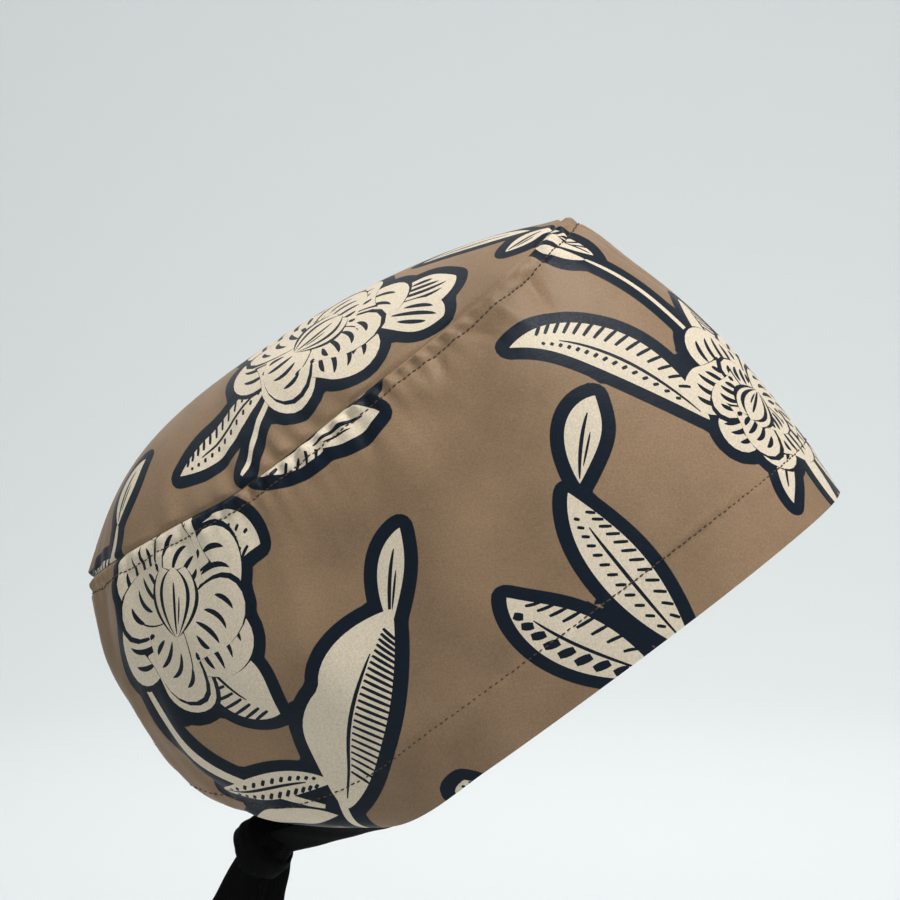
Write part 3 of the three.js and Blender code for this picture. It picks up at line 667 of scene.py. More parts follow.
class FloralPrint:
    """The charted floral: leaves, buds, stems and blooms, placed on a chart of 5 mm squares."""

    @staticmethod
    def joined(*items: Leaf | Stem | Bloom) -> list[Shape]:
        """Shapes of several items, in painting order."""
        return [shape for item in items for shape in item.shapes()]

    def twin_leaves(self) -> list[Shape]:
        """Bud over two leaves that spring from the hem."""
        return self.joined(
            Leaf((-105, 60), (-80, 80), bend=2, left=6, right=6, widest=0.5, detail=Detail.RIB),
            Leaf((-135, -5), (-150, 45), bend=4, left=9, right=11,
                 widest=0.42, detail=Detail.LADDER, pitch=5),
            Leaf((-120, -5), (-110, 60), bend=2, left=8.5, right=8.5,
                 widest=0.42, detail=Detail.DASHES, pitch=4),
        )

    def lobed_leaf(self) -> list[Shape]:
        """Bud over a long lobed leaf with a hatched side."""
        return self.joined(
            Leaf((-185, 60), (-160, 85), bend=1.5, left=4.5, right=4.5, widest=0.5, detail=Detail.RIB),
            Stem(((-260, 10), (-250, 20), (-245, 30))),
            Leaf((-250, 20), (-180, 65), bend=3, left=16, right=11, widest=0.42, blunt=0.8,
                 detail=Detail.HATCH, pitch=2.6, lobes=2),
        )

    def long_leaf(self) -> list[Shape]:
        """Long leaf that bends over at its tip."""
        return self.joined(
            Leaf((-55, 50), (-90, 110), bend=-11, left=7, right=10,
                 widest=0.45, detail=Detail.COMB, pitch=3.4))

    def front_bloom(self) -> list[Shape]:
        """Bloom over the forehead with leaves that reach the hem."""
        return self.joined(
            Stem(((-40, 120), (-30, 95), (-35, 75), (-30, 60)), 2.2),
            Leaf((-30, 55), (-10, 90), bend=3, left=7, right=7, detail=Detail.HATCH),
            Leaf((-20, 30), (-5, -5), bend=2, left=5, right=5, detail=Detail.RIB),
            Leaf((-30, 30), (-50, 10), bend=-2, left=4, right=4, detail=Detail.RIB),
            Leaf((-25, 30), (-25, -5), bend=1, left=4, right=4, detail=Detail.PLAIN),
            Bloom((-30, 45), 27, petals=7, start=20, rings=(1.0, 0.62), heart=200),
        )

    def great_bloom(self) -> list[Shape]:
        """Largest bloom, near the nape, with a fan petal and a long stem."""
        return self.joined(
            Stem(((-280, 100), (-280, 70), (-270, 45), (-255, 25)), 3.4),
            Leaf((-285, 50), (-245, 30), bend=2, left=6, right=5, detail=Detail.DASHES),
            Leaf((-290, 35), (-255, 20), bend=2, left=5, right=5, detail=Detail.PLAIN),
            Leaf((-250, 115), (-235, 60), bend=-4, left=14, right=9,
                 widest=0.6, detail=Detail.HATCH, pitch=4),
            Leaf((-245, 120), (-205, 110), bend=6, left=9, right=9, widest=0.6, detail=Detail.COMB, pitch=4),
            Bloom((-250, 110), 35, petals=6, start=-14, rings=(1.0, 0.62), heart=65),
        )

    def seam_motif(self) -> list[Shape]:
        """Small motif below the seam."""
        return self.joined(
            Leaf((-195, 130), (-150, 130), bend=-2, left=7, right=7, detail=Detail.LADDER, pitch=4),
            Leaf((-170, 125), (-140, 120), bend=2, left=5, right=6, detail=Detail.RIB),
            Leaf((-150, 130), (-130, 135), bend=1, left=5, right=5, detail=Detail.PLAIN),
        )

    def band_shapes(self) -> list[Shape]:
        """Every shape of the band, the right side first and then the left side and the back."""
        shapes = self.front_bloom() + self.long_leaf() + self.twin_leaves() + self.lobed_leaf()
        shapes += self.great_bloom() + self.seam_motif()
        shapes += self.joined(Leaf((-215, -5), (-210, 5), left=5, right=5, detail=Detail.COMB))
        shapes += self.joined(
            Leaf((-35, 120), (-30, 145), bend=2, left=5, right=5, detail=Detail.HATCH),
            Leaf((-40, 120), (-45, 135), bend=2, left=3, right=3, detail=Detail.PLAIN))
        shapes += moved(self.twin_leaves(), (-120, 10), (60, 15), turn=12, flip=True)
        shapes += moved(self.lobed_leaf(), (-220, 40), (140, 60), turn=28, flip=True)
        shapes += moved(self.long_leaf(), (-70, 80), (95, 100), turn=-38, flip=True)
        shapes += moved(self.great_bloom(), (-250, 100), (215, 85), turn=-16, flip=True)
        shapes += moved(self.twin_leaves(), (-120, 30), (290, 80), turn=160)
        shapes += moved(self.seam_motif(), (-170, 130), (160, 125), turn=6, flip=True)
        return shapes

    def crown_shapes(self) -> list[Shape]:
        """Every shape of the crown."""
        shapes = self.joined(
            Stem(((-50, -40), (-60, -20), (-75, -10), (-80, 0)), 2.6),
            Leaf((-50, -30), (-60, 25), bend=3, left=7, right=6, detail=Detail.COMB, pitch=4),
            Leaf((-35, -60), (-40, -100), bend=-4, left=10, right=11,
                 widest=0.62, blunt=0.7, detail=Detail.FAN),
            Leaf((-45, -60), (-60, -95), bend=2, left=8, right=8, widest=0.62, blunt=0.7, detail=Detail.FAN),
            Bloom((-40, -45), 32, petals=6, start=70, stretch=0.9, rings=(1.0, 0.6), heart=-60),
            Leaf((-15, -85), (-20, -130), bend=3, left=6, right=5, detail=Detail.RIB),
            Leaf((-35, -120), (-25, -140), bend=1, left=4.5, right=4.5, detail=Detail.RIB),
            Leaf((-45, 60), (-35, 35), bend=2, left=5, right=5, detail=Detail.RIB),
            Stem(((-45, 60), (-50, 70), (-45, 80)), 2.4),
            Leaf((-50, 70), (-25, 90), bend=3, left=6, right=5, detail=Detail.HATCH),
        )
        shapes += self.joined(
            Stem(((40, 0), (50, 15), (45, 40), (30, 55)), 2.6),
            Leaf((45, 20), (65, 45), bend=3, left=7, right=7, detail=Detail.LADDER, pitch=4),
            Leaf((35, 50), (10, 65), bend=2, left=7, right=7, detail=Detail.COMB),
            Bloom((40, -20), 28, petals=6, start=20, rings=(1.0, 0.6), heart=120),
            Leaf((35, -60), (25, -105), bend=-4, left=9, right=8, detail=Detail.DASHES, pitch=4),
            Leaf((50, -60), (60, -90), bend=2, left=6, right=6, detail=Detail.RIB),
            Leaf((0, 10), (-5, 45), bend=3, left=7, right=8, detail=Detail.HATCH),
        )
        return shapes


# ---------------------------------------------------------------- meshes

def make_object(name: str, points: np.ndarray, faces: np.ndarray,
                material: bpy.types.Material) -> bpy.types.Object:
    """Put a triangle mesh into the scene.

    Args:
        name: Name of the object.
        points: Vertices in metres.
        faces: Triangles.
        material: Its finish.

    Returns:
        The new object, smooth shaded.
    """
    mesh = bpy.data.meshes.new(name)
    mesh.from_pydata(points, [], faces.tolist())
    mesh.materials.append(material)
    mesh.polygons.foreach_set("use_smooth", np.ones(len(mesh.polygons), bool))
    mesh.update()
    obj = bpy.data.objects.new(name, mesh)
    bpy.context.scene.collection.objects.link(obj)
    return obj


def ring_faces(index: np.ndarray, looped: bool = False) -> np.ndarray:
    """Triangles of a tube whose vertices are numbered ring by ring; a looped tube joins its own start."""
    here = index if looped else index[:-1]
    there = np.roll(index, -1, 0) if looped else index[1:]
    beside, beyond = np.roll(here, -1, 1), np.roll(there, -1, 1)
    halves = ((here, beside, beyond), (here, beyond, there))
    return np.concatenate([np.stack(half, -1).reshape(-1, 3) for half in halves])


def facing_out(points: np.ndarray, faces: np.ndarray) -> np.ndarray:
    """Turn a closed shell's faces round if the volume that they enclose comes out negative."""
    corner = points[faces]
    volume = np.einsum("ij,ij->i", corner[:, 0], np.cross(corner[:, 1], corner[:, 2])).sum()
    return faces[:, ::-1] if volume < 0 else faces


def store(mesh: bpy.types.Mesh, name: str, values: np.ndarray, domain: str) -> None:
    """Keep one number for each vertex or face as an attribute of a mesh."""
    layer = mesh.attributes.new(name, "FLOAT", domain)
    layer.data.foreach_set("value", np.ascontiguousarray(values, np.float32))


def inside(points: np.ndarray, loop: np.ndarray) -> np.ndarray:
    """Tell which points lie inside a closed loop, by how often it winds round each of them."""
    found = np.zeros(len(points), bool)
    near = np.flatnonzero(((points > loop.min(0)) & (points < loop.max(0))).all(1))
    if not len(near):
        return found
    a, b = loop, np.roll(loop, -1, 0)
    for part in np.array_split(near, max(1, len(near) * len(loop) // 4_000_000)):
        x, y = points[part, 0][:, None], points[part, 1][:, None]
        side = (b[:, 0] - a[:, 0]) * (y - a[:, 1]) - (x - a[:, 0]) * (b[:, 1] - a[:, 1])
        up = (a[:, 1] <= y) & (b[:, 1] > y) & (side > 0)
        down = (a[:, 1] > y) & (b[:, 1] <= y) & (side < 0)
        found[part] = up.sum(1) != down.sum(1)
    return found


@dataclass
class PrintedPanel:
    """A printed cloth panel: a closed shell with the print cut into its outer face."""

    name: str
    node: str
    cloth: BandCloth | CrownCloth
    shapes: list[Shape]
    wall: float = 1.1
    hem_depth: float = 25.0
    grid: float = 2.4
    quiet: float = 0.45

    def grid_points(self, outline: np.ndarray) -> np.ndarray:
        """Staggered grid over the panel, finer near the seam, and clear of every drawn line."""
        low, high = outline.min(0), outline.max(0)
        rows = []
        for j, y in enumerate(np.arange(low[1] + 0.8, high[1], self.grid * 0.87)):
            x = np.arange(low[0] + self.grid * (0.5 if j % 2 else 1.0), high[0] - 0.4, self.grid)
            rows.append(np.stack([x, np.full_like(x, y)], -1))
        coarse = np.concatenate(rows)
        near = outline[np.r_[True, np.linalg.norm(np.diff(outline, axis=0), axis=1) > 0]]
        along = unit(np.roll(near, -1, 0) - np.roll(near, 1, 0))
        inward = np.stack([-along[:, 1], along[:, 0]], -1)
        fine = np.concatenate([near + inward * depth for depth in (0.8, 1.7, 2.8, 4.0, 5.2, 6.2, 7.6, 9.4)])
        return np.concatenate([fine, coarse])

    def build(self, material: bpy.types.Material) -> bpy.types.Object:
        """Triangulate the flat panel with its print, lay it on the cap and close it into a shell."""
        outline = self.cloth.outline(1.6)
        drawn = [points for points, _ in self.shapes]
        lines = np.concatenate([outline] + drawn)
        tree = KDTree(len(lines))
        for i, point in enumerate(lines.tolist()):
            tree.insert((point[0], point[1], 0.0), i)
        tree.balance()
        free = [p for p in self.grid_points(outline).tolist() if tree.find((p[0], p[1], 0.0))[2] > self.quiet]
        coords = lines.tolist() + free
        edges, start = [], 0
        for loop in [outline] + drawn:
            edges.extend((start + k, start + (k + 1) % len(loop)) for k in range(len(loop)))
            start += len(loop)
        result = delaunay_2d_cdt([Vector(p) for p in coords], edges, [], 0, 1e-5, False)
        flat = np.array([v[:] for v in result[0]])
        triangles = np.array(result[2], int)
        middles = flat[triangles].mean(1)
        kept = inside(middles, outline)
        triangles, middles = triangles[kept], middles[kept]
        cream = np.zeros(len(triangles), bool)
        for points, ink in self.shapes:
            cream[inside(middles, points)] = ink is Ink.CREAM
        used, triangles = np.unique(triangles, return_inverse=True)
        triangles, flat = triangles.reshape(-1, 3), flat[used]
        return self.shell(flat, triangles, cream, material)

    def shell(self, flat: np.ndarray, triangles: np.ndarray, cream: np.ndarray,
              material: bpy.types.Material) -> bpy.types.Object:
        """Close the triangulated panel into a shell with an inner face and rims, and store its print."""
        points, normals, offset = lie(self.cloth, flat)
        corners_flat = flat[triangles]
        _, first, same = np.unique(np.round(points, 4), axis=0, return_index=True, return_inverse=True)
        same = same.reshape(-1)
        outer = same[triangles]
        alive = (outer[:, 0] != outer[:, 1]) & (outer[:, 1] != outer[:, 2]) & (outer[:, 0] != outer[:, 2])
        outer, cream, corners_flat = outer[alive], cream[alive], corners_flat[alive]
        points, normals, offset, flat = points[first], normals[first], offset[first], flat[first]
        count = len(points)
        inner_points = points - offset * self.thickness(flat)[:, None]
        directed = np.concatenate([outer[:, [0, 1]], outer[:, [1, 2]], outer[:, [2, 0]]])
        key = directed[:, 0].astype(np.int64) * count + directed[:, 1]
        back = directed[:, 1].astype(np.int64) * count + directed[:, 0]
        rim = directed[~np.isin(key, back)]
        a, b = rim[:, 0], rim[:, 1]
        rims = np.concatenate([np.stack([b, a, a + count], -1), np.stack([b, a + count, b + count], -1)])
        faces = np.concatenate([outer, outer[:, ::-1] + count, rims])
        world = FORM.worn(np.concatenate([points, inner_points]))
        obj = make_object(self.name, world, faces, material)
        mesh = obj.data
        store(mesh, "cream", np.concatenate([cream, np.zeros(len(faces) - len(outer))]), "FACE")
        reverse = np.concatenate([np.zeros(len(outer)), np.ones(len(outer)), np.full(len(rims), 0.35)])
        store(mesh, "reverse", reverse, "FACE")
        halo = self.halo(flat)
        store(mesh, "halo", np.concatenate([halo, halo]), "POINT")
        self.unwrap(mesh, corners_flat, len(rims))
        turned = FORM.worn(np.concatenate([normals, -normals])) / MM
        mesh.normals_split_custom_set_from_vertices(turned.tolist())
        LOG.info("%s: %d triangles", self.name, len(faces))
        return obj

    def flat_cut(self) -> tuple[tuple[float, float], float]:
        """Width, length and area of the flat cut, in metres, with the turned-up part of a hem."""
        outline = self.cloth.outline(1.6)
        width, length = (outline.max(0) - outline.min(0)) * MM
        x, y = outline.T
        area = 0.5 * float(np.sum(x * np.roll(y, -1) - np.roll(x, -1) * y)) * MM * MM
        turned_up = self.hem_depth * MM if isinstance(self.cloth, BandCloth) else 0.0
        return (float(width), float(length) + turned_up), area + float(width) * turned_up

    def thickness(self, flat: np.ndarray) -> np.ndarray:
        """Wall at each flat point: the turned-up hem doubles the band's cloth inside."""
        if isinstance(self.cloth, CrownCloth):
            return np.full(len(flat), self.wall)
        angle, _ = self.cloth.place(flat)
        above = flat[:, 1] - FORM.edge("hem", angle)
        return self.wall + 0.6 * (1 - smooth_step(above, 24.0, 25.5))

    def halo(self, flat: np.ndarray) -> np.ndarray:
        """Distance of each flat point from the nearest cream shape, in mm, and 0 within one."""
        dense = []
        for points, ink in self.shapes:
            if ink is Ink.CREAM:
                for share in (0.0, 0.5):
                    dense.append(points + share * (np.roll(points, -1, 0) - points))
        lines = np.concatenate(dense)
        tree = KDTree(len(lines))
        for i, point in enumerate(lines.tolist()):
            tree.insert((point[0], point[1], 0.0), i)
        tree.balance()
        halo = np.array([tree.find((p[0], p[1], 0.0))[2] for p in flat.tolist()])
        for points, ink in self.shapes:
            if ink is Ink.CREAM:
                halo[inside(flat, points)] = 0.0
        return halo

    def unwrap(self, mesh: bpy.types.Mesh, corners: np.ndarray, rims: int) -> None:
        """Two UV maps: the flat cloth in metres, and a packed one.

        The band is laid in two rows and the crown beside its own inner face.
        """
        cloth = mesh.uv_layers.new(name="cloth")
        flat = np.concatenate([corners, corners[:, ::-1], np.zeros((rims, 3, 2))])
        cloth.data.foreach_set("uv", (flat * MM).reshape(-1).astype(np.float32))
        packed = mesh.uv_layers.new(name="OFBake")
        if isinstance(self.cloth, BandCloth):
            half = self.cloth.half
            scale = 0.97 / (half + 6)
            left = corners[..., 0].mean(1) < 0
            u = np.where(left[:, None], corners[..., 0] + half, corners[..., 0]) * scale + 0.012
            v = corners[..., 1] * scale + np.where(left, 0.01, 0.45)[:, None]
            inner_u = (corners[..., 0] + half) / (2 * half) * 0.98 + 0.01
            inner_v = corners[..., 1] / 150 * 0.08 + 0.905
        else:
            low, high = corners.reshape(-1, 2).min(0), corners.reshape(-1, 2).max(0)
            scale = 0.97 / (high[1] - low[1])
            u, v = ((corners[..., k] - low[k]) * scale + 0.01 for k in (0, 1))
            room = 0.97 - (high[0] - low[0]) * scale
            inner_u = (corners[..., 0] - low[0]) / (high[0] - low[0]) * room * 0.9 + 0.99 - room * 0.92
            inner_v = (corners[..., 1] - low[1]) * scale * 0.9 + 0.01
        front = np.stack([u, v], -1)
        behind = np.stack([inner_u, inner_v], -1)[:, ::-1]
        edge = np.tile(np.array([[0.002, 0.99], [0.004, 0.99], [0.004, 0.995]]), (rims, 1, 1))
        both = np.concatenate([front, behind, edge])
        packed.data.foreach_set("uv", both.reshape(-1).astype(np.float32))
        mesh.uv_layers.active = packed
        packed.active_render = True


# ---------------------------------------------------------------- finishes

@dataclass
class Sateen:
    """Printed cotton sateen: taupe ground, navy and cream inks, soft sheen and a fine weave."""

    taupe: tuple[float, float, float] = (0.262, 0.170, 0.100)
    navy: tuple[float, float, float] = (0.0035, 0.009, 0.018)
    cream: tuple[float, float, float] = (0.70, 0.60, 0.46)
    reverse: tuple[float, float, float] = (0.33, 0.25, 0.18)
    ground: float = 4.7
    roughness: float = 0.46
    sheen: float = 0.035

    def material(self) -> bpy.types.Material:
        """Build the node tree: print mask, weave tint, fade and bump."""
        mat = bpy.data.materials.new("printed_sateen")
        mat.use_nodes = True
        tree = mat.node_tree
        nodes, links = tree.nodes, tree.links
        shader = nodes["Principled BSDF"]
        shader.inputs["Sheen Weight"].default_value = self.sheen
        shader.inputs["Sheen Roughness"].default_value = 0.4
        shader.inputs["Specular IOR Level"].default_value = 0.16

        def attribute(name: str) -> bpy.types.NodeSocket:
            """Read one stored number."""
            node = nodes.new("ShaderNodeAttribute")
            node.attribute_name = name
            return node.outputs["Fac"]

        def mix(factor: bpy.types.NodeSocket, a: object, b: object) -> bpy.types.NodeSocket:
            """Mix two colours."""
            node = nodes.new("ShaderNodeMix")
            node.data_type = "RGBA"
            links.new(factor, node.inputs[0])
            for socket, value in ((node.inputs[6], a), (node.inputs[7], b)):
                if isinstance(value, tuple):
                    socket.default_value = (*value, 1.0)
                else:
                    links.new(value, socket)
            return node.outputs[2]

        def noise(scale: float, detail: float) -> bpy.types.NodeSocket:
            """Noise in the object's own coordinates."""
            node = nodes.new("ShaderNodeTexNoise")
            node.inputs["Scale"].default_value = scale
            node.inputs["Detail"].default_value = detail
            links.new(coords.outputs["Object"], node.inputs["Vector"])
            return node.outputs["Fac"]

        def remap(value: bpy.types.NodeSocket, low: float, high: float,
                  a: float, b: float) -> bpy.types.NodeSocket:
            """Map a range on to another, held at both ends."""
            node = nodes.new("ShaderNodeMapRange")
            for socket, number in zip(node.inputs[1:5], (low, high, a, b)):
                socket.default_value = number
            links.new(value, node.inputs[0])
            return node.outputs[0]

        coords = nodes.new("ShaderNodeTexCoord")
        uv = nodes.new("ShaderNodeUVMap")
        uv.uv_map = "cloth"
        broad = noise(28.0, 3.0)
        fine = noise(1500.0, 2.0)
        in_ground = remap(attribute("halo"), self.ground - 0.12, self.ground + 0.12, 1.0, 0.0)
        dark = tuple(0.86 * c for c in self.taupe)
        light = tuple(1.12 * c for c in self.taupe)
        ground = mix(remap(broad, 0.35, 0.65, 0.0, 1.0), dark, light)
        printed = mix(attribute("cream"), mix(in_ground, ground, self.navy), self.cream)
        faced = mix(attribute("reverse"), printed, self.reverse)
        grain = nodes.new("ShaderNodeHueSaturation")
        links.new(faced, grain.inputs["Color"])
        links.new(remap(fine, 0.3, 0.7, 0.88, 1.12), grain.inputs["Value"])
        links.new(grain.outputs["Color"], shader.inputs["Base Color"])
        rough = remap(fine, 0.3, 0.7, self.roughness - 0.06, self.roughness + 0.08)
        links.new(rough, shader.inputs["Roughness"])

        weave = nodes.new("ShaderNodeTexWave")
        weave.bands_direction = "DIAGONAL"
        weave.inputs["Scale"].default_value = 900.0
        weave.inputs["Distortion"].default_value = 1.5
        links.new(uv.outputs["UV"], weave.inputs["Vector"])
        first = nodes.new("ShaderNodeBump")
        first.inputs["Strength"].default_value = 0.12
        first.inputs["Distance"].default_value = 0.0002
        links.new(weave.outputs["Fac"], first.inputs["Height"])
        second = nodes.new("ShaderNodeBump")
        second.inputs["Strength"].default_value = 0.25
        second.inputs["Distance"].default_value = 0.0006
        links.new(noise(240.0, 4.0), second.inputs["Height"])
        links.new(first.outputs["Normal"], second.inputs["Normal"])
        links.new(second.outputs["Normal"], shader.inputs["Normal"])
        return mat


@dataclass(frozen=True)
class Yarn:
    """Plain dyed yarn, for thread and for tape: a colour, a fine noise and a rib."""

    name: str
    colour: tuple[float, float, float]
    roughness: float
    rib_scale: float
    sheen: float = 0.2

    def material(self) -> bpy.types.Material:
        """Build the node tree: a slightly uneven colour and a ribbed bump."""
        mat = bpy.data.materials.new(self.name)
        mat.use_nodes = True
        nodes, links = mat.node_tree.nodes, mat.node_tree.links
        shader = nodes["Principled BSDF"]
        shader.inputs["Sheen Weight"].default_value = self.sheen
        shader.inputs["Roughness"].default_value = self.roughness
        shader.inputs["Specular IOR Level"].default_value = 0.12
        coords = nodes.new("ShaderNodeTexCoord")
        noise = nodes.new("ShaderNodeTexNoise")
        noise.inputs["Scale"].default_value = 700.0
        links.new(coords.outputs["Object"], noise.inputs["Vector"])
        ramp = nodes.new("ShaderNodeMix")
        ramp.data_type = "RGBA"
        ramp.inputs[6].default_value = (*(0.7 * c for c in self.colour), 1.0)
        ramp.inputs[7].default_value = (*(1.5 * c for c in self.colour), 1.0)
        links.new(noise.outputs["Fac"], ramp.inputs[0])
        links.new(ramp.outputs[2], shader.inputs["Base Color"])
        wave = nodes.new("ShaderNodeTexWave")
        wave.bands_direction = "DIAGONAL"
        wave.inputs["Scale"].default_value = self.rib_scale
        wave.inputs["Distortion"].default_value = 2.0
        links.new(coords.outputs["Object"], wave.inputs["Vector"])
        bump = nodes.new("ShaderNodeBump")
        bump.inputs["Strength"].default_value = 0.4
        bump.inputs["Distance"].default_value = 0.0003
        links.new(wave.outputs["Fac"], bump.inputs["Height"])
        links.new(bump.outputs["Normal"], shader.inputs["Normal"])
        return mat


# ---------------------------------------------------------------- stitches

@dataclass
class StitchRow:
    """A row of short stitches that follows a line on a panel."""

    name: str
    cloth: BandCloth
    pitch: float = 2.35
    length: float = 1.9
    radius: float = 0.28

    def build(self, line: np.ndarray, material: bpy.types.Material) -> bpy.types.Object:
        """Lay a small spindle of thread along each pitch of the line.

        Each stitch is a tube whose radius swells in the middle, and whose ends dive into the cloth.
        """
        lengths = np.concatenate([[0.0], np.cumsum(np.linalg.norm(np.diff(line, axis=0), axis=1))])
        starts = np.arange(0.0, lengths[-1] - self.pitch, self.pitch)
        t = np.linspace(0, 1, 7)
        at = starts[:, None] + t[None, :] * self.length
        flat = np.stack([np.interp(at, lengths, line[:, k]) for k in (0, 1)], -1)
        flat[..., 1] += 0.12 * np.sin(starts * 1.7)[:, None]
        centre, normal, _ = lie(self.cloth, flat.reshape(-1, 2))
        centre, normal = centre.reshape(*at.shape, 3), normal.reshape(*at.shape, 3)
        arch = 0.34 * np.sin(math.pi * t) - 0.12
        centre = centre + normal * arch[None, :, None]
        along = unit(np.gradient(centre, axis=1))
        side = unit(np.cross(normal, along))
        up = np.cross(along, side)
        turn = np.linspace(0, 2 * math.pi, 6, endpoint=False)
        radius = self.radius * (0.35 + 0.65 * np.sin(math.pi * t) ** 0.5)[None, :, None, None]
        ring = np.einsum("stk,a->stak", side, np.cos(turn)) + np.einsum("stk,a->stak", up, np.sin(turn))
        points = centre[:, :, None] + ring * radius
        stitches, rows, around = points.shape[:3]
        index = np.arange(stitches * rows * around).reshape(stitches, rows, around)
        a, b = index[:, :-1], np.roll(index, -1, 2)[:, :-1]
        c, d = np.roll(index, -1, 2)[:, 1:], index[:, 1:]
        sides = np.concatenate([np.stack(x, -1).reshape(-1, 3) for x in ((a, b, c), (a, c, d))])
        caps = []
        for k in range(1, around - 1):
            caps.append(np.stack([index[:, 0, 0], index[:, 0, k + 1], index[:, 0, k]], -1))
            caps.append(np.stack([index[:, -1, 0], index[:, -1, k], index[:, -1, k + 1]], -1))
        faces = np.concatenate([sides] + caps)
        obj = make_object(self.name, FORM.worn(points.reshape(-1, 3)), faces, material)
        LOG.info("%s: %d stitches", self.name, stitches)
        return obj


# ---------------------------------------------------------------- tapes

@dataclass(frozen=True)
class TailRow:
    """One place along a hanging tail, from the knot's centre in the worn frame, in mm and degrees."""

    aside: float
    behind: float
    drop: float
    wide: float
    turn: float


@dataclass
class Ribbon:
    """A strip of tape lofted through a few sections, each a row of points from edge to edge, in mm."""

    name: str
    thickness: float = 1.2
    columns: int = 11
    rows: int = 70

    def resample(self, sections: np.ndarray) -> np.ndarray:
        """Draw a smooth curve through the sections in each column, and add columns between them."""
        count = len(sections)
        steps = np.linalg.norm(np.diff(sections.mean(1), axis=0), axis=1)
        keys = np.concatenate([[0.0], np.cumsum(steps)])
        at = np.linspace(0, keys[-1], self.rows)
        flat = sections.reshape(count, -1)
        fine = np.stack([read_table(keys, flat[:, k], at) for k in range(flat.shape[1])], -1)
        fine = fine.reshape(self.rows, sections.shape[1], 3)
        across = np.linspace(0, sections.shape[1] - 1, self.columns)
        low = np.minimum(across.astype(int), sections.shape[1] - 2)
        share = (across - low)[None, :, None]
        return fine[:, low] * (1 - share) + fine[:, low + 1] * share

    def build(self, sections: np.ndarray, material: bpy.types.Material,
              ripple: float = 0.25) -> bpy.types.Object:
        """Give the strip its thickness, thicker along both woven edges, and close it.

        Args:
            sections: Rows of points, in the worn frame in mm.
            material: The tape's finish.
            ripple: Height of the slow waves along the tape, in mm.

        Returns:
            The closed strip.
        """
        middle = self.resample(sections)
        along = np.gradient(middle, axis=0)
        across = np.gradient(middle, axis=1)
        face = unit(np.cross(across, along))
        t = np.linspace(0, 1, self.rows)[:, None]
        u = np.linspace(-1, 1, self.columns)[None, :]
        rise = np.sin(math.pi * t)
        wave = np.sin(t * 19 + 2.2 * u) * rise + 0.6 * np.sin(t * 43 - 3 * u) * rise
        middle = middle + face * (ripple * wave)[..., None]
        half = 0.5 * self.thickness * (0.82 + 0.18 * smooth_step(np.abs(u), 0.78, 0.86)) * np.ones_like(t)
        half = half * np.where(np.abs(u) > 0.99, 0.45, 1.0)
        front, back = middle + face * half[..., None], middle - face * half[..., None]
        ring = np.concatenate([front, back[:, ::-1]], 1)
        rows, size = ring.shape[:2]
        index = np.arange(rows * size).reshape(rows, size)
        faces = [ring_faces(index)]
        k = np.arange(self.columns - 1)
        for row, order in ((0, (0, 2, 1)), (rows - 1, (0, 1, 2))):
            f, r = index[row, k], index[row, k + 1]
            g, h = index[row, size - 1 - k], index[row, size - 2 - k]
            for tri in ((f, r, h), (f, h, g)):
                faces.append(np.stack([tri[j] for j in order], -1))
        points = ring.reshape(-1, 3)
        faces = facing_out(points, np.concatenate(faces))
        obj = make_object(self.name, points * MM, faces, material)
        LOG.info("%s: %d triangles", self.name, len(faces))
        return obj


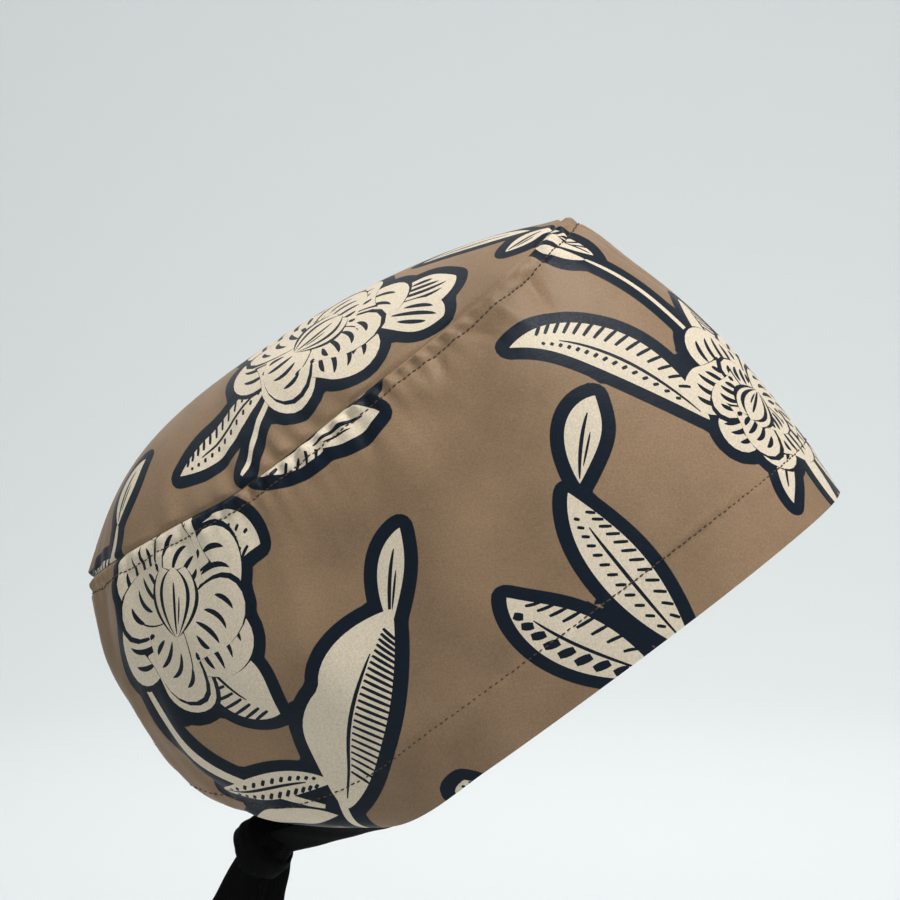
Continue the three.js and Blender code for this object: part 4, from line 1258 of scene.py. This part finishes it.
@dataclass
class Ties:
    """Both tapes, the knot that joins them below the nape, and the two tails that hang from it."""

    knot: tuple[float, float, float] = (0.0, 134.0, 22.0)
    radii: tuple[float, float, float] = (11.0, 13.0, 12.0)
    width: float = 20.0
    inside: float = 3.7
    peep: float = 1.0
    cased: tuple[float, ...] = (122, 128, 134, 140, 145)
    sag: tuple[float, float, float] = (-7.0, -12.0, -10.0)
    right: tuple[TailRow, ...] = (
        TailRow(-2, 1, 0, 0.55, 76),
        TailRow(-3, 3, 5, 0.75, 76),
        TailRow(-5, 9, 20, 0.95, 80),
        TailRow(-7, 20, 46, 1, 84),
        TailRow(-8, 28, 76, 1, 78),
        TailRow(-7, 33, 100, 1, 70),
        TailRow(-5, 35, 116, 1, 64),
    )
    left: tuple[TailRow, ...] = (
        TailRow(2, -1, 0, 0.55, 104),
        TailRow(3, -2, 5, 0.75, 104),
        TailRow(5, 3, 20, 0.95, 100),
        TailRow(8, 6, 46, 1, 94),
        TailRow(10, 10, 76, 1, 100),
        TailRow(11, 15, 100, 1, 108),
        TailRow(11, 18, 116, 1, 114),
    )

    def tape_sections(self, side: int) -> np.ndarray:
        """Sections of one tape: flat inside the casing at first, then bowed freely into the knot."""
        sections, columns = [], 6
        spread = np.linspace(-self.peep, self.width - self.peep, columns)
        for turned in self.cased:
            angle = np.full(columns, side * float(turned))
            level = spread / (FORM.edge("seam", angle) - FORM.edge("hem", angle))
            held = np.maximum(level, 0.03)
            east = FORM.band(angle + 0.5, held) - FORM.band(angle - 0.5, held)
            north = FORM.band(angle, held + 0.01) - FORM.band(angle, held - 0.01)
            sections.append(FORM.band(angle, level) - unit(np.cross(east, north)) * self.inside)
        last = sections[-1]
        centre = np.array(self.knot)
        along = unit(centre - 0.5 * (last[0] + last[-1]))
        across = np.array([0, 0.45, 0.9])
        across = unit(across - along * (across @ along))
        entry = centre + across * (self.width * 0.6 * (np.linspace(0, 1, columns) - 0.5))[:, None]
        bow = np.array([side * self.sag[0], self.sag[1], self.sag[2]])
        for part in (0.1, 0.25, 0.45, 0.7, 1.0):
            sections.append(last + (entry - last) * part + bow * math.sin(math.pi * math.sqrt(part)))
        return FORM.worn(np.array(sections)) / MM

    def tail_sections(self, rows: tuple[TailRow, ...]) -> np.ndarray:
        """Sections of one tail, two points wide, square to its line."""
        origin = FORM.worn(np.array(self.knot)) / MM
        centres = np.array([(row.aside, row.behind, -row.drop) for row in rows], float)
        along = unit(np.gradient(centres, axis=0))
        sections = []
        for row, centre, run in zip(rows, centres, along):
            turn = math.radians(row.turn)
            across = np.array([math.cos(turn), math.sin(turn), 0.0])
            across = unit(across - run * (across @ run))
            spread = (np.linspace(-0.5, 0.5, 5) * self.width * row.wide)[:, None]
            bulge = np.cross(across, run) * (1 - (np.linspace(-1, 1, 5)) ** 2)[:, None] * 1.2
            sections.append(origin + centre + across * spread + bulge)
        return np.array(sections)

    def wrap(self, name: str, lean: float, roll: float, reach: float, width: float,
             material: bpy.types.Material) -> bpy.types.Object:
        """A turn of tape round the knot: a ribbon that hugs the knot's egg on a leaning ring."""
        turn = np.linspace(0, 2 * math.pi, 72, endpoint=False)
        across = np.linspace(-0.5, 0.5, 9)
        tilt, spin = math.radians(lean), math.radians(roll)
        axis = np.array([math.sin(tilt) * math.cos(spin), math.cos(tilt), math.sin(tilt) * math.sin(spin)])
        first = unit(np.cross(axis, [0.0, 0.0, 1.0]))
        second = np.cross(axis, first)
        ring = first * np.cos(turn)[:, None] + second * np.sin(turn)[:, None]
        aim = unit(ring[:, None] + axis * (across * width / self.radii[0])[None, :, None])
        ripple = 1 + 0.05 * np.sin(3 * turn + 1)[:, None] * np.cos(math.pi * across)[None]
        ripple = ripple + 0.035 * np.sin(across * 21.0 + 0.6 * np.sin(2 * turn)[:, None])
        radius = (reach * ripple)[..., None] * np.array(self.radii)
        edge = np.where(np.abs(across) > 0.49, 0.0, 1.0)[None, :, None]
        outer = aim * (radius + 0.9 * edge)
        inner = aim * (radius - 1.2)
        shell = np.concatenate([outer, inner[:, ::-1]], 1) + np.array(self.knot)
        rows, size = shell.shape[:2]
        index = np.arange(rows * size).reshape(rows, size)
        points = FORM.worn(shell.reshape(-1, 3))
        return make_object(name, points, facing_out(points, ring_faces(index, looped=True)), material)

    def core(self, material: bpy.types.Material) -> bpy.types.Object:
        """The knot's body under its turns: an egg with soft pleats that run into its waist."""
        rows, size = 36, 64
        polar = np.linspace(0, math.pi, rows + 2)[1:-1, None]
        turn = np.linspace(0, 2 * math.pi, size, endpoint=False)[None]
        aim = np.stack([np.sin(polar) * np.cos(turn), np.cos(polar) * np.ones_like(turn),
                        np.sin(polar) * np.sin(turn)], -1)
        pleat = 1 - 0.05 * np.abs(np.sin(4.5 * turn + 1.2 * np.cos(polar))) * np.sin(polar)
        body = aim * np.array(self.radii) * (0.9 * pleat)[..., None]
        poles = np.array([[0, self.radii[1] * 0.9, 0], [0, -self.radii[1] * 0.9, 0]])
        points = np.concatenate([body.reshape(-1, 3), poles]) + np.array(self.knot)
        index = np.arange(rows * size).reshape(rows, size)
        top, end = rows * size, rows * size + 1
        faces = [ring_faces(index)]
        faces.append(np.stack([np.full(size, top), np.roll(index[0], -1), index[0]], -1))
        faces.append(np.stack([np.full(size, end), index[-1], np.roll(index[-1], -1)], -1))
        world = FORM.worn(points)
        return make_object("knot_core", world, facing_out(world, np.concatenate(faces)), material)

    def build(self, material: bpy.types.Material) -> None:
        for name, node, side in (("right_tape", "tape_right", -1), ("left_tape", "tape_left", 1)):
            strip = Ribbon(name).build(self.tape_sections(side), material)
            self.enter(strip, node, (0.02, self.strip_length(self.tape_sections(side))), "laid")
        for name, node, rows in (("right_tail", "tie_tail_right", self.right),
                                 ("left_tail", "tie_tail_left", self.left)):
            strip = Ribbon(name).build(self.tail_sections(rows), material, ripple=0.5)
            self.enter(strip, node, (0.02, self.strip_length(self.tail_sections(rows))), "hung")
        core = self.core(material)
        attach(core, BODY)
        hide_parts("tie_knot")
        for name, lean, roll, reach, width in (("knot_turn_wide", 14, 10, 0.93, 12.0),
                                               ("knot_turn_cross", 62, 70, 0.88, 9.0)):
            turn = self.wrap(name, lean, roll, reach, width, material)
            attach(turn, BODY)

    @staticmethod
    def strip_length(sections: np.ndarray) -> float:
        """Length of a strip along its middle, in metres."""
        return float(np.linalg.norm(np.diff(sections.mean(1), axis=0), axis=1).sum()) * MM

    @staticmethod
    def enter(obj: bpy.types.Object, node: str, flat: tuple[float, float], held: str) -> None:
        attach(obj, BODY)
        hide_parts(node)


@dataclass
class Fray:
    """Loose threads at the worn corner of the hem, where the casing ends near the nape."""

    angle: float = -173.0
    count: int = 14
    radius: float = 0.13

    def build(self, material: bpy.types.Material) -> bpy.types.Object:
        """Let thin threads curl out of the hem's edge, each a short tube along a bent line."""
        rng = np.random.default_rng(11)
        t = np.linspace(0, 1, 9)
        turn = np.linspace(0, 2 * math.pi, 5, endpoint=False)
        points, faces, start = [], [], 0
        for _ in range(self.count):
            angle = np.array([self.angle + rng.uniform(-2.2, 2.2)])
            root = FORM.band(angle, np.array([0.012]))[0]
            outward = unit(root - [0, FORM.crown_y, root[2]])
            sideways = np.array([-outward[1], outward[0], 0.0])
            length = rng.uniform(1.4, 4.0)
            lean = rng.uniform(-0.7, 0.7)
            curl = rng.uniform(-2.0, 2.0)
            heading = outward * 0.45 + sideways * lean + [0, 0, -0.75]
            line = root - outward * 0.8 + np.outer(t * length, heading)
            line = line + np.outer(np.sin(t * 3.0) * curl * t, sideways)
            along = unit(np.gradient(line, axis=0))
            first = unit(np.cross(along, outward + 0.01))
            second = np.cross(along, first)
            radius = (self.radius * (1 - 0.5 * t))[:, None, None]
            ring = np.einsum("tk,a->tak", first, np.cos(turn)) + np.einsum("tk,a->tak", second, np.sin(turn))
            points.append((line[:, None] + ring * radius).reshape(-1, 3))
            index = start + np.arange(len(t) * 5).reshape(len(t), 5)
            faces.append(ring_faces(index))
            for row, order in ((index[0], (0, 2, 1)), (index[-1], (0, 1, 2))):
                fan = np.stack([np.full(3, row[0]), row[1:4], row[2:5]], -1)
                faces.append(fan[:, order])
            start += len(t) * 5
        faces = np.concatenate(faces)
        world = FORM.worn(np.concatenate(points))
        return make_object("frayed_threads", world, faces, material)


# ---------------------------------------------------------------- the studio

@dataclass
class Studio:
    """Pale floor and backdrop, soft lights and the camera."""

    azimuth: float = -82.0
    elevation: float = 3.0
    distance: float = 0.65
    target: tuple[float, float, float] = (0.0, 0.047, 0.088)
    lens: float = 69.5
    floor: float = -0.32

    def direction(self) -> Vector:
        """Way from the target to the camera."""
        a, e = math.radians(self.azimuth), math.radians(self.elevation)
        return Vector((math.sin(a) * math.cos(e), -math.cos(a) * math.cos(e), math.sin(e)))

    def build(self) -> None:
        """Make the floor, the lights and the camera."""
        self.sweep()
        target = Vector(self.target)
        camera = bpy.data.objects.new("camera", bpy.data.cameras.new("camera"))
        camera.data.lens = self.lens
        camera.data.clip_start = 0.01
        camera.location = target + self.direction() * self.distance
        camera.rotation_euler = self.direction().to_track_quat("Z", "Y").to_euler()
        bpy.context.scene.collection.objects.link(camera)
        bpy.context.scene.camera = camera
        self.light("key", (-0.62, -0.62, 1.65), 0.6, 29.0)
        self.light("rim", (0.4, 0.9, 1.1), 1.0, 4.0)
        self.light("wash", (0.9, 0.0, 1.5), 1.6, 26.0, (3.4, 0.0, 0.4))
        self.light("low_wash", (0.8, 0.0, 0.9), 1.2, 2.0, (2.0, 0.0, -0.5))
        world = bpy.data.worlds.new("room")
        world.use_nodes = True
        world.node_tree.nodes["Background"].inputs["Color"].default_value = (0.84, 0.87, 0.87, 1)
        world.node_tree.nodes["Background"].inputs["Strength"].default_value = 0.56
        bpy.context.scene.world = world
        bpy.context.scene.view_settings.view_transform = "Standard"

    def light(self, name: str, place: tuple[float, float, float], size: float, power: float,
              aim: tuple[float, float, float] | None = None) -> None:
        """Add one soft area light, which looks at the cap unless it is aimed elsewhere."""
        lamp = bpy.data.objects.new(name, bpy.data.lights.new(name, "AREA"))
        lamp.data.size = size
        lamp.data.energy = power
        lamp.location = place
        lamp.rotation_euler = (Vector(place) - Vector(aim or self.target)).to_track_quat("Z", "Y").to_euler()
        bpy.context.scene.collection.objects.link(lamp)

    def sweep(self) -> None:
        """A pale floor that curves up into the wall all round, so that no horizon shows."""
        mat = bpy.data.materials.new("floor")
        mat.use_nodes = True
        mat.node_tree.nodes["Principled BSDF"].inputs["Base Color"].default_value = (0.66, 0.68, 0.685, 1)
        mat.node_tree.nodes["Principled BSDF"].inputs["Roughness"].default_value = 0.9
        bend = np.linspace(0, math.pi / 2, 24)
        reach = np.concatenate([[0.5, 1.2], 1.6 + 1.8 * np.sin(bend), [3.4]])
        rise = np.concatenate([[0.0, 0.0], 1.8 * (1 - np.cos(bend)), [2.6]]) + self.floor
        turn = np.linspace(0, 2 * math.pi, 96, endpoint=False)
        rings = np.stack([np.outer(reach, np.cos(turn)), np.outer(reach, np.sin(turn)),
                          np.outer(rise, np.ones(96))], -1)
        points = np.concatenate([rings.reshape(-1, 3), [[0, 0, self.floor]]])
        index = np.arange(len(reach) * 96).reshape(-1, 96)
        a, b = index[:-1], np.roll(index, -1, 1)[:-1]
        d, c = index[1:], np.roll(index, -1, 1)[1:]
        faces = [np.stack(x, -1).reshape(-1, 3) for x in ((a, d, c), (a, c, b))]
        faces.append(np.stack([np.full(96, len(points) - 1), index[0], np.roll(index[0], -1)], -1))
        make_object("backdrop", points, np.concatenate(faces), mat)


def main() -> None:
    """Build the cap piece by piece and report each one."""
    Studio().build()
    sateen = Sateen().material()
    thread = Yarn("brown_thread", (0.06, 0.035, 0.022), 0.7, 900.0).material()
    tape = Yarn("black_tape", (0.0016, 0.0016, 0.0019), 0.9, 700.0, 0.0).material()
    chart = FloralPrint()
    band_cloth, crown_cloth = BandCloth(), CrownCloth()
    for panel in (
        PrintedPanel("band_cloth", "side_band", band_cloth, chart.band_shapes()),
        PrintedPanel("crown_cloth", "crown_panel", crown_cloth, chart.crown_shapes()),
    ):
        obj = panel.build(sateen)
        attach(obj, BODY)
        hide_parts(panel.node)
        size, area = panel.flat_cut()
        LOG.info("%s laid", obj.name)
    angle = band_cloth.angles
    for name, height in (("hem_stitches", FORM.edge("hem", angle) + band_cloth.stitch_height),
                         ("seam_stitches", FORM.edge("seam", angle) - band_cloth.strip)):
        row = StitchRow(name, band_cloth).build(np.stack([band_cloth.lengths, height], -1), thread)
        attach(row, BODY)
    lint = Yarn("brown_thread_light", (0.2, 0.14, 0.09), 0.8, 900.0).material()
    fray = Fray().build(lint)
    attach(fray, BODY)
    Ties().build(tape)


if __name__ == "__main__":
    logging.basicConfig(level=logging.INFO, format="%(name)s: %(message)s")
    main()
